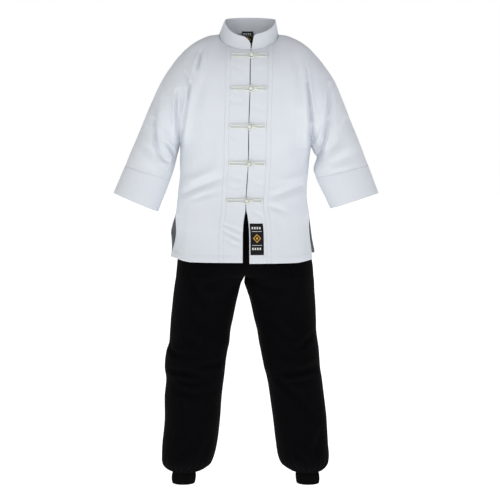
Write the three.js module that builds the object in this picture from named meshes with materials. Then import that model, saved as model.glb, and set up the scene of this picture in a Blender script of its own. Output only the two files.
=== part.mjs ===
/**
 * Tai chi uniform: a white drill jacket with a mandarin collar and frog closures, over black
 * trousers with elastic ankle cuffs, filled out as if worn and empty inside.
 *
 * Millimetres. +X is the wearer's left, -Y is the front and +Z is up. The origin is the middle of
 * the neck, level with the points where the shoulder seams meet the collar.
 *
 * Each piece of cloth is a wall: a grid of outer points, worked out from tables of sections, and
 * the same grid moved in by the thickness of the cloth.
 */
import * as THREE from 'three';

const DRILL = 1.6;            // jacket cloth
const COLLAR_CLOTH = 2.4;     // two layers and a stiffener
const COTTON = 1.5;           // trouser cloth
const TRIM = 1.1;             // placket strips
const LABEL = 0.8;            // woven labels
const SEAM = 0.3;             // gap between two pieces that are sewn together
const ROUNDNESS = 2.4;        // exponent of the jacket's rounded sections
const LEG_ROUNDNESS = 2.2;    // exponent of the trousers' sections
const STIFF_EDGE = 18;        // folds die out over this distance from a seam

const WHITE = 0xd9dde2;
const BLACK = 0x0b0b0d;
const ECRU = 0xe3e2d2;
const ROUGHNESS = { drill: 0.85, cotton: 0.9, elastic: 0.95, label: 0.7, cord: 0.8 };

const NECK = {
  middle: 2.2,
  halfWidth: 88,
  front: 82,                  // depth of the neckline in front of the shoulder seams
  back: 60,
  drop: 50,                   // how far the front neckline falls
  rise: 8,                    // how far the back neckline rises
};
const COLLAR_HEIGHT = 44;
const YOKE_SLOPE = { neck: 0.75, shoulder: 0.16 };   // how steeply the cloth leaves the neckline
const SHOULDER_POINT = { x: 186, z: -45 };
const ARMPIT = { right: { x: -203, z: -325 }, left: { x: 188, z: -333 } };
const ARMHOLE_DEPTH = { front: 95, back: 100 };
const YOKE_Z = -140;          // below this the rows of the panels are level
const VENT_TOP = -531;
const HEM = -665;
const CROTCH = -719;
const SEAT_TOP = -600;        // the seat starts to divide into legs below this
const WAIST_Z = -410;
const ANKLE_Z = -1316;

const SIDES = { right: -1, left: 1 };

/** Rows of numbers as objects with named columns. */
function table(columns, rows) {
  return rows.map((row) => Object.fromEntries(columns.map((name, i) => [name, row[i]])));
}

// The shoulder line, outwards from the neck
const SHOULDER = table(['x', 'z'], [
  [80, 2],
  [90, 0],
  [112, -3],
  [131, -10],
  [150, -19],
  [170, -32],
  [186, -45],
]);

// The jacket's middle line and its depths in front of and behind the shoulder seams
const BODY = table(['z', 'middle', 'front', 'back'], [
  [8, 2, 60, 62],
  [0, 2, 66, 70],
  [-20, 2, 79, 86],
  [-46, 2, 89, 99],
  [-80, 2, 103, 110],
  [-120, 1, 115, 118],
  [-200, -3, 126, 120],
  [-300, -8, 126, 109],
  [-400, -13, 119, 100],
  [-460, -16, 117, 98],
  [-530, -18, 119, 108],
  [-600, -17, 124, 120],
  [-665, -16, 130, 129],
]);

const SIDE_SEAM = table(['z', 'right', 'left'], [
  [-325, -203, 188],
  [-345, -201.5, 186],
  [-377, -202.5, 182],
  [-413, -202, 179],
  [-449, -206.5, 176],
  [-485, -211, 176.5],
  [-521, -215.5, 182],
  [-531, -217, 183],
]);

// Edges of the side vents: where they are, and how far they stand off the middle of the side
const VENT_EDGES = {
  frontRight: table(['z', 'x', 'inset'], [
    [-531, -217, 0],
    [-560, -216, 4],
    [-585, -214.5, 6],
    [-604, -216.5, 8],
    [-635, -223, 11],
    [-664, -231, 15],
  ]),
  frontLeft: table(['z', 'x', 'inset'], [
    [-531, 183, 0],
    [-560, 182, 9],
    [-600, 184, 22],
    [-640, 189, 32],
    [-664, 191, 36],
  ]),
  backRight: table(['z', 'x', 'inset'], [
    [-531, -217, 0],
    [-560, -226.5, 12],
    [-585, -233, 22],
    [-604, -232, 29],
    [-635, -231.5, 40],
    [-664, -234, 46],
  ]),
  backLeft: table(['z', 'x', 'inset'], [
    [-531, 183, 0],
    [-560, 187, 10],
    [-600, 193, 26],
    [-635, 199, 38],
    [-655, 202, 42],
  ]),
};

// How far the front hem hangs below HEM at the middle, and how far it lifts between two distances
const FRONT_HEM = {
  right: { drop: 4, lift: 11, from: 165, to: 236 },
  left: { drop: 6.5, lift: 6, from: 140, to: 195 },
};

// The two edges of the front opening, which spreads below the last frog
const OPENING = table(['z', 'right', 'left'], [
  [-40, 8.6, 9.4],
  [-70, 7.3, 8.7],
  [-115, 5.2, 8.6],
  [-165, 5.3, 6.7],
  [-220, 3.2, 5.4],
  [-274, 1.8, 3.2],
  [-330, 0.6, 3],
  [-381, 0.4, 1.6],
  [-435, -3.5, -1.3],
  [-490, -6.7, -5.3],
  [-517, -7.4, -4.6],
  [-534, -10, -1],
  [-552, -12.8, 1.2],
  [-572, -14.2, 3],
  [-597, -15, 4],
  [-665, -15.2, 4.2],
]);

// The sleeves in the front view: their outer and inner lines, depths and middle
const SLEEVES = {
  right: table(['outerX', 'outerZ', 'innerX', 'innerZ', 'front', 'back', 'middleY'], [
    [-186, -45, -203, -325, 95, 100, 0],
    [-222, -86, -204.5, -330, 92, 94, 0],
    [-258, -140, -206.5, -339, 86, 86, 0],
    [-286, -200, -209.5, -352, 78, 76, -3],
    [-310, -256, -214, -370, 70, 68, -6],
    [-336, -318, -221, -401, 62, 58, -16],
    [-364, -388, -231, -430, 55, 52, -24],
    [-398, -468, -266.5, -524, 52, 48, -34],
  ]),
  left: table(['outerX', 'outerZ', 'innerX', 'innerZ', 'front', 'back', 'middleY'], [
    [186, -45, 188, -333, 95, 100, 0],
    [224, -88, 191, -337, 92, 94, 0],
    [258, -141, 194, -344, 86, 86, 0],
    [284, -200, 199, -353, 78, 76, -3],
    [306, -256, 205, -364, 70, 68, -6],
    [331, -318, 195, -396, 62, 58, -18],
    [356, -386, 203, -424, 55, 52, -26],
    [387, -468, 244, -515, 52, 48, -38],
  ]),
};
const CUFF_ROW = 6;           // the row of SLEEVES where the cuff is sewn on

// The trousers above the crotch
const SEAT = table(['z', 'right', 'left', 'front', 'back'], [
  [-410, -178, 152, 97, 86],
  [-450, -186, 158, 101, 86],
  [-500, -194, 166, 104, 92],
  [-560, -204, 174, 107, 103],
  [-600, -207, 178, 108, 109],
  [-640, -209, 186, 108, 113],
  [-683, -213, 194, 107, 114],
  [-719, -216, 197, 104, 112],
]);

// The two legs below the crotch
const LEGS = table(['z', 'rightOuter', 'rightInner', 'leftInner', 'leftOuter', 'front', 'back', 'middleY'], [
  [-719, -216, -10.2, -9.8, 197, 104, 112, 0],
  [-737, -219, -20, -11.5, 199, 101, 110, 0],
  [-755, -222, -25, -6, 199.5, 98, 107, 0],
  [-791, -226, -33.5, 6, 201.5, 92, 102, 0],
  [-846, -232, -45, 18, 205, 86, 96, 0],
  [-882, -235, -53, 27, 206, 83, 92, -1],
  [-919, -238, -57, 33, 211, 80, 88, -2],
  [-943, -246, -62, 38, 214, 79, 86, -3],
  [-992, -251, -69, 48, 217, 77, 82, -4],
  [-1028, -247, -73, 57, 223, 75, 80, -3],
  [-1083, -252, -79, 66, 230, 74, 78, 0],
  [-1157, -253, -85, 76, 238, 72, 76, 5],
  [-1230, -260.5, -94, 85, 243, 70, 74, 9],
  [-1267, -262, -103, 91, 246, 67, 70, 10],
  [-1288, -261, -113, 101, 243, 60, 62, 10],
  [-1304, -250, -134, 124, 231, 48, 50, 10],
  [-1316, -228, -161, 146, 213, 36, 38, 10],
]);

const ANKLE_CUFF = table(['z', 'rightOuter', 'rightInner', 'leftInner', 'leftOuter', 'front', 'back'], [
  [-1316, -228, -161, 146, 213, 36, 38],
  [-1325, -231, -159, 145, 216, 38, 40],
  [-1339, -232, -160, 146, 217, 38, 40],
  [-1350, -230, -162, 148, 216, 37, 39],
]);
const ANKLE_MIDDLE_Y = 10;
const WAISTBAND_HEIGHT = 34;

// Main folds, as troughs between two places in the front view
const FOLDS = table(['piece', 'face', 'x1', 'z1', 'x2', 'z2', 'depth', 'width'], [
  ['jacket_front_right', 'front', -137, -55, -147, -112, 5, 11],
  ['jacket_front_right', 'front', -196, -470, -76, -423, 6, 15],
  ['jacket_front_right', 'front', -150, -480, -76, -458, 3, 12],
  ['jacket_front_left', 'front', 70, -476, 165, -444, 5, 15],
  ['jacket_front_left', 'front', 145, -85, 152, -190, 4, 16],
  ['jacket_back', 'back', -190, -462, -60, -430, 6, 16],
  ['jacket_back', 'back', 50, -440, 165, -470, 6, 16],
  ['jacket_back', 'back', -150, -120, -120, -290, 5, 18],
  ['jacket_back', 'back', 150, -120, 118, -280, 5, 18],
  ['sleeve_right', 'front', -275, -181, -267, -283, 8, 17],
  ['sleeve_right', 'front', -267, -283, -232, -371, 7, 15],
  ['sleeve_right', 'front', -211, -130, -203, -300, 10, 15],
  ['sleeve_right', 'back', -268, -200, -222, -350, 9, 17],
  ['sleeve_right', 'back', -300, -290, -240, -372, 6, 16],
  ['sleeve_left', 'front', 252, -150, 233, -268, 10, 16],
  ['sleeve_left', 'front', 233, -268, 203, -362, 12, 14],
  ['sleeve_left', 'front', 289, -240, 246, -350, 6, 18],
  ['sleeve_left', 'front', 235, -380, 330, -346, 4, 14],
  ['sleeve_left', 'back', 262, -190, 214, -352, 9, 17],
  ['sleeve_left', 'back', 300, -300, 232, -374, 6, 16],
  ['trouser_front_right', 'front', -231, -996, -127, -1013, 7, 14],
  ['trouser_front_right', 'front', -200, -1026, -130, -1030, 5, 13],
  ['trouser_front_right', 'front', -160, -735, -118, -800, 4, 18],
  ['trouser_front_right', 'front', -190, -885, -140, -920, 4, 18],
  ['trouser_front_left', 'front', 92, -1002, 210, -986, 7, 14],
  ['trouser_front_left', 'front', 84, -1012, 156, -1082, 6, 15],
  ['trouser_front_left', 'front', 156, -1082, 210, -1148, 5, 15],
  ['trouser_front_left', 'front', 70, -842, 134, -900, 5, 18],
  ['trouser_back_right', 'back', -225, -985, -110, -1010, 7, 15],
  ['trouser_back_right', 'back', -210, -1040, -120, -1030, 5, 14],
  ['trouser_back_right', 'back', -60, -745, -160, -790, 6, 18],
  ['trouser_back_left', 'back', 80, -1005, 200, -985, 7, 15],
  ['trouser_back_left', 'back', 90, -1030, 190, -1060, 5, 14],
  ['trouser_back_left', 'back', 35, -745, 140, -790, 6, 18],
]);

// Levels of the rows of the jacket panels, from the yoke to the hem
const PATCH = { from: 3, to: 42, top: -555, bottom: -642 };
const BODY_LEVELS = [-180, -222, -265, -299];
const ARMPIT_STEPS = [15, 4, 0];
const LOWER_LEVELS = [-365, -402, -438, -466, -500, VENT_TOP, PATCH.top, -598, PATCH.bottom];
const YOKE_ROWS = 6;

// Columns of the front panels, by distance from the front edge; the strips lie on the last two
const FRONT_COLUMNS = { right: [0, 19, 38, 56, 70], left: [0, PATCH.from, 22, PATCH.to, 50, 64] };
const NECK_COLUMNS = { front: 2, back: 4 };
const SHOULDER_COLUMNS = 6;

// The frogs: where they are, and how far the cloth lies behind its even section there
const FROGS = table(['x', 'z', 'settle'], [
  [8, -69, 1.3],
  [6, -165, 0.4],
  [2.5, -274, 0.1],
  [1, -381, 0],
  [-6, -489.5, 0],
]);
const FROG = {
  cord: 4,                    // diameter
  spread: 8.4,                // between the middles of its two cords
  reachRight: 55,             // from the front edge to the outer bend
  reachLeft: 48,
  ball: 12.4,
  ballOffset: 3,              // the ball sits this far to the wearer's left of the edge
  lift: 2.35,                 // middle of the cord above the panel
  loopLift: 6.3,              // where the loop passes over the neck of the knot
};

/** A smooth curve through the rows: the value of one column at any value of another. */
function smooth(rows, key, column) {
  const points = rows.map((row) => [row[key], row[column]]).sort((a, b) => a[0] - b[0]);
  const last = points.length - 1;
  const slope = (i) => {
    const before = points[Math.max(i - 1, 0)];
    const after = points[Math.min(i + 1, last)];
    return (after[1] - before[1]) / (after[0] - before[0]);
  };
  return (value) => {
    const t = THREE.MathUtils.clamp(value, points[0][0], points[last][0]);
    let i = 0;
    while (i < last - 1 && t > points[i + 1][0]) i += 1;
    const span = points[i + 1][0] - points[i][0];
    const s = (t - points[i][0]) / span;
    const rise = (3 - 2 * s) * s * s;
    const startPull = slope(i) * span * s * (1 - s) * (1 - s);
    const endPull = slope(i + 1) * span * s * s * (s - 1);
    return points[i][1] + (points[i + 1][1] - points[i][1]) * rise + startPull + endPull;
  };
}

/** Smooth curves for every column of a table, by name. */
function curves(rows, key) {
  return Object.fromEntries(Object.keys(rows[0]).map((name) => [name, smooth(rows, key, name)]));
}

/** Half of a rounded section: the depth at a share of the half width, for a full depth of 1. */
function bulge(share, power) {
  return Math.max(0, 1 - Math.min(1, Math.abs(share)) ** power) ** (1 / power);
}

const lerp = THREE.MathUtils.lerp;
const shoulderZ = smooth(SHOULDER, 'x', 'z');
const shoulderX = smooth(SHOULDER, 'z', 'x');
const body = curves(BODY, 'z');
const sideSeam = curves(SIDE_SEAM, 'z');
const opening = curves(OPENING, 'z');
const ventEdges = Object.fromEntries(
  Object.entries(VENT_EDGES).map(([name, rows]) => [name, curves(rows, 'z')]),
);
const seat = curves(SEAT, 'z');
const legs = curves(LEGS, 'z');
const ankle = curves(ANKLE_CUFF, 'z');

/** The outer edge of a jacket panel at a level: shoulder, armhole, side seam or vent. */
function panelEdge(face, side, z) {
  const armpit = ARMPIT[side];
  if (z >= SHOULDER_POINT.z) return { x: SIDES[side] * shoulderX(z), inset: 0 };
  if (z > armpit.z) {
    const share = (SHOULDER_POINT.z - z) / (SHOULDER_POINT.z - armpit.z);
    const inset = ARMHOLE_DEPTH[face] * Math.sqrt(Math.max(0, 1 - (2 * share - 1) ** 2));
    return { x: lerp(SIDES[side] * SHOULDER_POINT.x, armpit.x, share), inset };
  }
  if (z >= VENT_TOP) return { x: z === armpit.z ? armpit.x : sideSeam[side](z), inset: 0 };
  const edge = ventEdges[face + side[0].toUpperCase() + side.slice(1)];
  return { x: edge.x(z), inset: edge.inset(z) };
}

/** A level section through one side of a panel. */
function panelSection(face, side, z) {
  const edge = panelEdge(face, side, z);
  const middle = body.middle(z);
  const depth = body[face](z);
  const reach = bulge(edge.inset / depth, ROUNDNESS);
  return { middle, depth, reach, edge, halfWidth: Math.abs(edge.x - middle) / reach };
}

/** A point of the front or back of the jacket at x and z. */
function panelPoint(face, x, z) {
  const side = x < body.middle(z) ? 'right' : 'left';
  const section = panelSection(face, side, z);
  const depth = section.depth * bulge((x - section.middle) / section.halfWidth, ROUNDNESS);
  return new THREE.Vector3(x, face === 'front' ? -depth : depth, z);
}

/** The neckline, by the angle from the centre front round the wearer's left. */
function neckline(angle) {
  const forward = Math.cos(angle);
  const x = NECK.middle + NECK.halfWidth * Math.sin(angle);
  if (forward > 0) return new THREE.Vector3(x, -NECK.front * forward, -NECK.drop * forward);
  return new THREE.Vector3(x, -NECK.back * forward, -NECK.rise * forward);
}

/** The angle of the neckline at x, from the centre line round to the neck point. */
function neckAngle(x) {
  return Math.asin(THREE.MathUtils.clamp((x - NECK.middle) / NECK.halfWidth, -1, 1));
}

/** The neckline at x, on the front or the back. */
function necklineAt(face, x) {
  return neckline(face === 'front' ? neckAngle(x) : Math.PI - neckAngle(x));
}

/** The outward normal of a grid of points at row j and column i. */
function gridNormal(grid, j, i, closed, sign) {
  const columns = grid[0].length;
  const before = closed ? (i + columns - 1) % columns : Math.max(i - 1, 0);
  const after = closed ? (i + 1) % columns : Math.min(i + 1, columns - 1);
  const across = new THREE.Vector3().subVectors(grid[j][after], grid[j][before]);
  const rows = grid.length;
  const down = new THREE.Vector3().subVectors(grid[Math.min(j + 1, rows - 1)][i], grid[Math.max(j - 1, 0)][i]);
  return across.cross(down).normalize().multiplyScalar(sign);
}

/** +1 or -1, so that the grid's normals point away from the place inside. */
function outwardSign(grid, closed, inside) {
  let total = 0;
  grid.forEach((row, j) => row.forEach((point, i) => {
    total += gridNormal(grid, j, i, closed, 1).dot(new THREE.Vector3().subVectors(point, inside));
  }));
  return Math.sign(total);
}

/**
 * Outward directions for a grid. Where an edge is sewn to a neighbour, seams(j, i) gives the planes
 * that the edge's thickness has to stay in, so that the two walls meet and never cross.
 */
function directions(grid, { closed = false, inside, seams = () => [] }) {
  const sign = outwardSign(grid, closed, inside);
  const normals = grid.map((row, j) => row.map((_, i) => gridNormal(grid, j, i, closed, sign)));
  grid.forEach((row, j) => row.forEach((_, i) => {
    const planes = seams(j, i);
    if (planes.length === 0) return;
    const surface = normals[j][i];
    if (planes.length > 1) {
      const line = new THREE.Vector3().crossVectors(planes[0].normal, planes[1].normal).normalize();
      const guide = planes[0].guide ?? surface;
      normals[j][i] = line.multiplyScalar(Math.sign(line.dot(guide)) || 1);
      return;
    }
    const { normal, along, guide = surface } = planes[0];
    const tangent = along === 'row'
      ? new THREE.Vector3().subVectors(row[Math.min(i + 1, row.length - 1)], row[Math.max(i - 1, 0)])
      : new THREE.Vector3().subVectors(grid[Math.min(j + 1, grid.length - 1)][i], grid[Math.max(j - 1, 0)][i]);
    const inPlane = closed
      ? surface.clone().addScaledVector(normal, -surface.dot(normal)).normalize()
      : tangent.cross(normal).normalize();
    normals[j][i] = inPlane.multiplyScalar(Math.sign(inPlane.dot(guide)) || 1);
  }));
  return normals;
}

/** A closed mesh from two grids of the same size, one outside the other. */
function shell(outer, inner, closed) {
  const rows = outer.length;
  const columns = outer[0].length;
  const positions = [...outer.flat(), ...inner.flat()].flatMap((p) => [p.x, p.y, p.z]);
  const id = (layer, j, i) => (layer * rows + j) * columns + (i % columns);
  const indices = [];
  const quad = (a, b, c, d) => indices.push(a, b, c, a, c, d);
  const lastColumn = closed ? columns : columns - 1;
  for (let j = 0; j < rows - 1; j += 1) {
    for (let i = 0; i < lastColumn; i += 1) {
      quad(id(0, j, i), id(0, j, i + 1), id(0, j + 1, i + 1), id(0, j + 1, i));
      quad(id(1, j, i), id(1, j + 1, i), id(1, j + 1, i + 1), id(1, j, i + 1));
    }
  }
  for (let i = 0; i < lastColumn; i += 1) {
    quad(id(0, 0, i + 1), id(0, 0, i), id(1, 0, i), id(1, 0, i + 1));
    quad(id(0, rows - 1, i), id(0, rows - 1, i + 1), id(1, rows - 1, i + 1), id(1, rows - 1, i));
  }
  for (let j = 0; j < rows - 1 && !closed; j += 1) {
    quad(id(0, j, 0), id(0, j + 1, 0), id(1, j + 1, 0), id(1, j, 0));
    quad(id(0, j + 1, columns - 1), id(0, j, columns - 1), id(1, j, columns - 1), id(1, j + 1, columns - 1));
  }
  const geometry = new THREE.BufferGeometry();
  geometry.setAttribute('position', new THREE.Float32BufferAttribute(positions, 3));
  geometry.setIndex(volume(positions, indices) < 0 ? indices.reverse() : indices);
  return geometry;
}

/** Signed volume of a closed mesh. */
function volume(positions, indices) {
  const corner = (n) => new THREE.Vector3().fromArray(positions, indices[n] * 3);
  let total = 0;
  for (let n = 0; n < indices.length; n += 3) {
    total += corner(n).dot(corner(n + 1).cross(corner(n + 2))) / 6;
  }
  return total;
}

/** The grid moved along its outward directions. */
function moved(grid, normals, distance) {
  return grid.map((row, j) => row.map((p, i) => p.clone().addScaledVector(normals[j][i], distance)));
}

/** How deep the folds of a piece are at a point. */
function foldDepth(piece, face, point) {
  return FOLDS.filter((fold) => fold.piece === piece && fold.face === face).reduce((total, fold) => {
    const run = new THREE.Vector2(fold.x2 - fold.x1, fold.z2 - fold.z1);
    const from = new THREE.Vector2(point.x - fold.x1, point.z - fold.z1);
    const along = THREE.MathUtils.clamp(from.dot(run) / run.lengthSq(), 0, 1);
    const distance = from.addScaledVector(run, -along).length();
    return total + fold.depth * Math.exp(-((distance / fold.width) ** 2));
  }, 0);
}

/** Press a piece's folds into its grid; they die out towards its sewn edges. */
function fold(grid, piece, faceOf, options, sewn) {
  const sign = outwardSign(grid, options.closed, options.inside);
  const rows = grid.length;
  const columns = grid[0].length;
  return grid.map((row, j) => row.map((point, i) => {
    const borders = [];
    if (sewn.top) borders.push(grid[0][i]);
    if (sewn.bottom) borders.push(grid[rows - 1][i]);
    if (sewn.start) borders.push(row[0]);
    if (sewn.end) borders.push(row[columns - 1]);
    const near = Math.min(...borders.map((border) => border.distanceTo(point)), STIFF_EDGE);
    const depth = foldDepth(piece, faceOf(point), point) * (near / STIFF_EDGE);
    return point.clone().addScaledVector(gridNormal(grid, j, i, options.closed, sign), -depth);
  }));
}

const group = new THREE.Group();

/** Add a named piece with its own material. */
function addPiece(name, geometry, color, roughness) {
  const mesh = new THREE.Mesh(geometry, new THREE.MeshStandardMaterial({ color, roughness, metalness: 0 }));
  mesh.name = name;
  group.add(mesh);
}

const LEVEL_Y = new THREE.Vector3(0, 1, 0);
const LEVEL_X = new THREE.Vector3(1, 0, 0);
const LEVEL_Z = new THREE.Vector3(0, 0, 1);

/** The plane of an armhole. */
function armholePlane(side) {
  const acrossArmhole = ARMPIT[side].x - SIDES[side] * SHOULDER_POINT.x;
  const line = new THREE.Vector3(acrossArmhole, 0, ARMPIT[side].z - SHOULDER_POINT.z);
  return line.cross(LEVEL_Y).normalize();
}

/** Levels of the rows below the yoke on one side. */
function levelsOf(side) {
  const armpitLevels = ARMPIT_STEPS.map((step) => ARMPIT[side].z + step);
  return [YOKE_Z, ...BODY_LEVELS, ...armpitLevels, ...LOWER_LEVELS, HEM];
}

/** The level of the hem at x; the back hem lifts towards the wearer's left. */
function hemLevel(face, x) {
  if (face === 'back') return HEM + 13 * THREE.MathUtils.smoothstep(x, 110, 202);
  const { drop, lift, from, to } = FRONT_HEM[x < 0 ? 'right' : 'left'];
  return HEM - drop + lift * THREE.MathUtils.smoothstep(Math.abs(x), from, to);
}

/** Top point of a column, on the neckline or the shoulder seam. */
function topPoint(face, side, x) {
  const neckX = NECK.middle + SIDES[side] * NECK.halfWidth;
  if (SIDES[side] * (x - neckX) <= 0) return necklineAt(face, x);
  return new THREE.Vector3(x, 0, shoulderZ(Math.abs(x)));
}

/** Angles of the columns that meet the neckline beyond startX, out to the neck point. */
function neckAngles(side, startX, neckColumns) {
  const start = neckAngle(startX);
  const end = SIDES[side] * Math.PI / 2;
  return Array.from({ length: neckColumns }, (_, k) => lerp(start, end, (k + 1) / neckColumns));
}

/** X of the tops of the columns from the strip or centre out to the shoulder point. */
function topColumns(side, startX, neckColumns) {
  const neckX = NECK.middle + SIDES[side] * NECK.halfWidth;
  const shoulderEnd = SIDES[side] * SHOULDER_POINT.x;
  const onNeck = neckAngles(side, startX, neckColumns)
    .map((angle) => NECK.middle + NECK.halfWidth * Math.sin(angle));
  const onShoulder = Array.from(
    { length: SHOULDER_COLUMNS },
    (_, k) => lerp(neckX, shoulderEnd, (k + 1) / SHOULDER_COLUMNS),
  );
  return [...onNeck, ...onShoulder];
}

/** X of the columns at a level, evenly spread in angle round the section from startX to the edge. */
function levelColumns(face, side, z, startX, count) {
  const section = panelSection(face, side, z);
  const start = Math.asin(Math.abs(startX - section.middle) / section.halfWidth);
  const end = Math.asin(section.reach);
  return Array.from({ length: count }, (_, k) => {
    if (k === count - 1) return section.edge.x;
    return section.middle + SIDES[side] * section.halfWidth * Math.sin(lerp(start, end, (k + 1) / count));
  });
}

/** A curve from the top of a column, which leaves it flat and comes down to the yoke. */
function yokeCurve(face, top, bottom, flatness) {
  const ahead = new THREE.Vector3(bottom.x - top.x, bottom.y - top.y, 0);
  const start = top.clone().addScaledVector(ahead, 0.55);
  start.z -= 0.55 * ahead.length() * Math.tan(lerp(YOKE_SLOPE.neck, YOKE_SLOPE.shoulder, flatness));
  const step = 4;
  const above = panelPoint(face, bottom.x, bottom.z + step);
  const below = panelPoint(face, bottom.x, bottom.z - step);
  const rise = 0.5 * (top.z - bottom.z);
  const end = bottom.clone().addScaledVector(above.sub(below), rise / (2 * step));
  return new THREE.CubicBezierCurve3(top, start, end, bottom);
}

/** Rows from the neckline and shoulder down to the level rows below the yoke. */
function yokeRows(face, tops, yoke, firstShoulder) {
  const last = tops.length - 1;
  const neckDrop = face === 'front' ? NECK.drop : NECK.rise * 4;
  return Array.from({ length: YOKE_ROWS }, (_, j) => tops.map((top, i) => {
    const share = j / YOKE_ROWS;
    const outward = THREE.MathUtils.smoothstep(i, firstShoulder, last);
    const flatness = i < firstShoulder ? 1 - Math.abs(top.z) / neckDrop : 1;
    const curved = yokeCurve(face, top, yoke[i], flatness).getPoint(share);
    const round = new THREE.Vector3().lerpVectors(top, yoke[i], share ** 1.8);
    const section = i < firstShoulder ? curved : panelPoint(face, round.x, round.z);
    return j === 0 ? top : curved.lerp(section, outward);
  }));
}

/** Grid of half a front or back panel, columns from the centre outwards. */
function panelGrid(face, side, fixedColumns, neckColumns) {
  const columnX = (z) => {
    const fixed = fixedColumns(z);
    const start = fixed[fixed.length - 1];
    return [...fixed, ...levelColumns(face, side, z, start, neckColumns + SHOULDER_COLUMNS)];
  };
  const fixedTops = fixedColumns(-NECK.drop);
  const tops = [...fixedTops, ...topColumns(side, fixedTops[fixedTops.length - 1], neckColumns)]
    .map((x) => topPoint(face, side, x));
  const yoke = columnX(YOKE_Z).map((x) => panelPoint(face, x, YOKE_Z));
  const levelRows = levelsOf(side).map((z) => columnX(z).map((x) => {
    const level = z === HEM ? hemLevel(face, x) : z;
    return panelPoint(face, x, level);
  }));
  return [...yokeRows(face, tops, yoke, fixedTops.length - 1 + neckColumns), ...levelRows];
}

/** Planes that the outer edge of a panel is sewn in, by row. */
function panelSeams(side, rowCount, lastColumn, firstShoulder) {
  const armpitRow = YOKE_ROWS + 1 + BODY_LEVELS.length + ARMPIT_STEPS.length - 1;
  const ventRow = rowCount - 2 - LOWER_LEVELS.slice(LOWER_LEVELS.indexOf(VENT_TOP)).length + 1;
  const armhole = armholePlane(side);
  const up = LEVEL_Z;
  const under = LEVEL_Z.clone().negate();
  return (j, i) => {
    const planes = [];
    const outerEdge = i === lastColumn;
    if (outerEdge && j === 0) return [{ normal: LEVEL_Y, guide: up }, { normal: armhole }];
    if (outerEdge && j === armpitRow) return [{ normal: LEVEL_Y, guide: under }, { normal: armhole }];
    if (outerEdge && j < armpitRow) planes.push({ normal: armhole, along: 'column' });
    if (outerEdge && j > armpitRow && j <= ventRow) planes.push({ normal: LEVEL_Y, along: 'column' });
    if (j === 0 && i >= firstShoulder) planes.push({ normal: LEVEL_Y, along: 'row' });
    return planes;
  };
}

const BODY_INSIDE = new THREE.Vector3(0, 0, -330);

/** Keep the panel half a seam away from its neighbours. */
function trimPanel(grid, face, side, lastColumn) {
  const forward = face === 'front' ? -1 : 1;
  grid.forEach((row) => {
    row.forEach((point) => {
      point.y += forward * SEAM / 2;
    });
    row[lastColumn].x -= SIDES[side] * SEAM / 2;
  });
}

/** One front of the jacket, with the strip that is stitched along its opening. */
function jacketFront(side) {
  const offsets = FRONT_COLUMNS[side];
  const fixedColumns = (z) => offsets.map((offset) => opening[side](z) + SIDES[side] * offset);
  const grid = panelGrid('front', side, fixedColumns, NECK_COLUMNS.front);
  const lastColumn = grid[0].length - 1;
  trimPanel(grid, 'front', side, lastColumn);
  const name = `jacket_front_${side}`;
  const options = {
    inside: BODY_INSIDE,
    seams: panelSeams(side, grid.length, lastColumn, offsets.length - 1 + NECK_COLUMNS.front),
  };
  const folded = fold(grid, name, () => 'front', options, { top: true, end: true });
  const normals = directions(folded, options);
  addPiece(name, shell(folded, moved(folded, normals, -DRILL), false), WHITE, ROUGHNESS.drill);

  const first = offsets.length - 2;
  const strip = folded.slice(1).map((row) => row.slice(first, first + 2));
  const stripNormals = normals.slice(1).map((row) => row.slice(first, first + 2));
  const stripFace = moved(strip, stripNormals, SEAM + TRIM);
  const stripGeometry = shell(stripFace, moved(strip, stripNormals, SEAM), false);
  addPiece(`placket_${side}`, stripGeometry, WHITE, ROUGHNESS.drill);
  return { folded, normals };
}

/** The whole back of the jacket. */
function jacketBack() {
  const halves = ['right', 'left'].map((side) => {
    const grid = panelGrid('back', side, (z) => [body.middle(z)], NECK_COLUMNS.back);
    trimPanel(grid, 'back', side, grid[0].length - 1);
    return grid;
  });
  const [right, left] = halves;
  const half = right[0].length - 1;
  const grid = right.map((row, j) => [...row.slice(1).reverse(), ...left[j].map((p) => p.clone())]);
  grid.forEach((row, j) => {
    row[half].lerpVectors(right[j][0], left[j][0], 0.5);
  });
  const seamsOf = {
    right: panelSeams('right', grid.length, half, NECK_COLUMNS.back),
    left: panelSeams('left', grid.length, half, NECK_COLUMNS.back),
  };
  const options = {
    inside: BODY_INSIDE,
    seams: (j, i) => (i < half ? seamsOf.right(j, half - i) : seamsOf.left(j, i - half)),
  };
  const folded = fold(grid, 'jacket_back', () => 'back', options, { top: true, start: true, end: true });
  const normals = directions(folded, options);
  addPiece('jacket_back', shell(folded, moved(folded, normals, -DRILL), false), WHITE, ROUGHNESS.drill);
}

const SLEEVE_COLUMNS = 18;

/** One ring of a sleeve; whole rows are the rows of its table. */
function sleeveRing(side, row) {
  const rows = SLEEVES[side].map((values, index) => ({ ...values, index }));
  const at = (column) => smooth(rows, 'index', column)(row);
  const outer = new THREE.Vector3(at('outerX'), 0, at('outerZ'));
  const inner = new THREE.Vector3(at('innerX'), 0, at('innerZ'));
  const middle = new THREE.Vector3().addVectors(outer, inner).multiplyScalar(0.5);
  const half = new THREE.Vector3().subVectors(outer, inner).multiplyScalar(0.5);
  return Array.from({ length: SLEEVE_COLUMNS }, (_, i) => {
    const angle = (2 * Math.PI * i) / SLEEVE_COLUMNS;
    const across = Math.sin(angle);
    const depth = across > 0 ? at('front') : at('back');
    const point = middle.clone().addScaledVector(half, Math.cos(angle));
    point.y = at('middleY') - depth * across;
    return point;
  });
}

/** Plane of a sleeve ring. */
function ringPlane(side, row) {
  const ring = sleeveRing(side, row);
  return new THREE.Vector3().subVectors(ring[0], ring[SLEEVE_COLUMNS / 2]).cross(LEVEL_Y).normalize();
}

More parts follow.
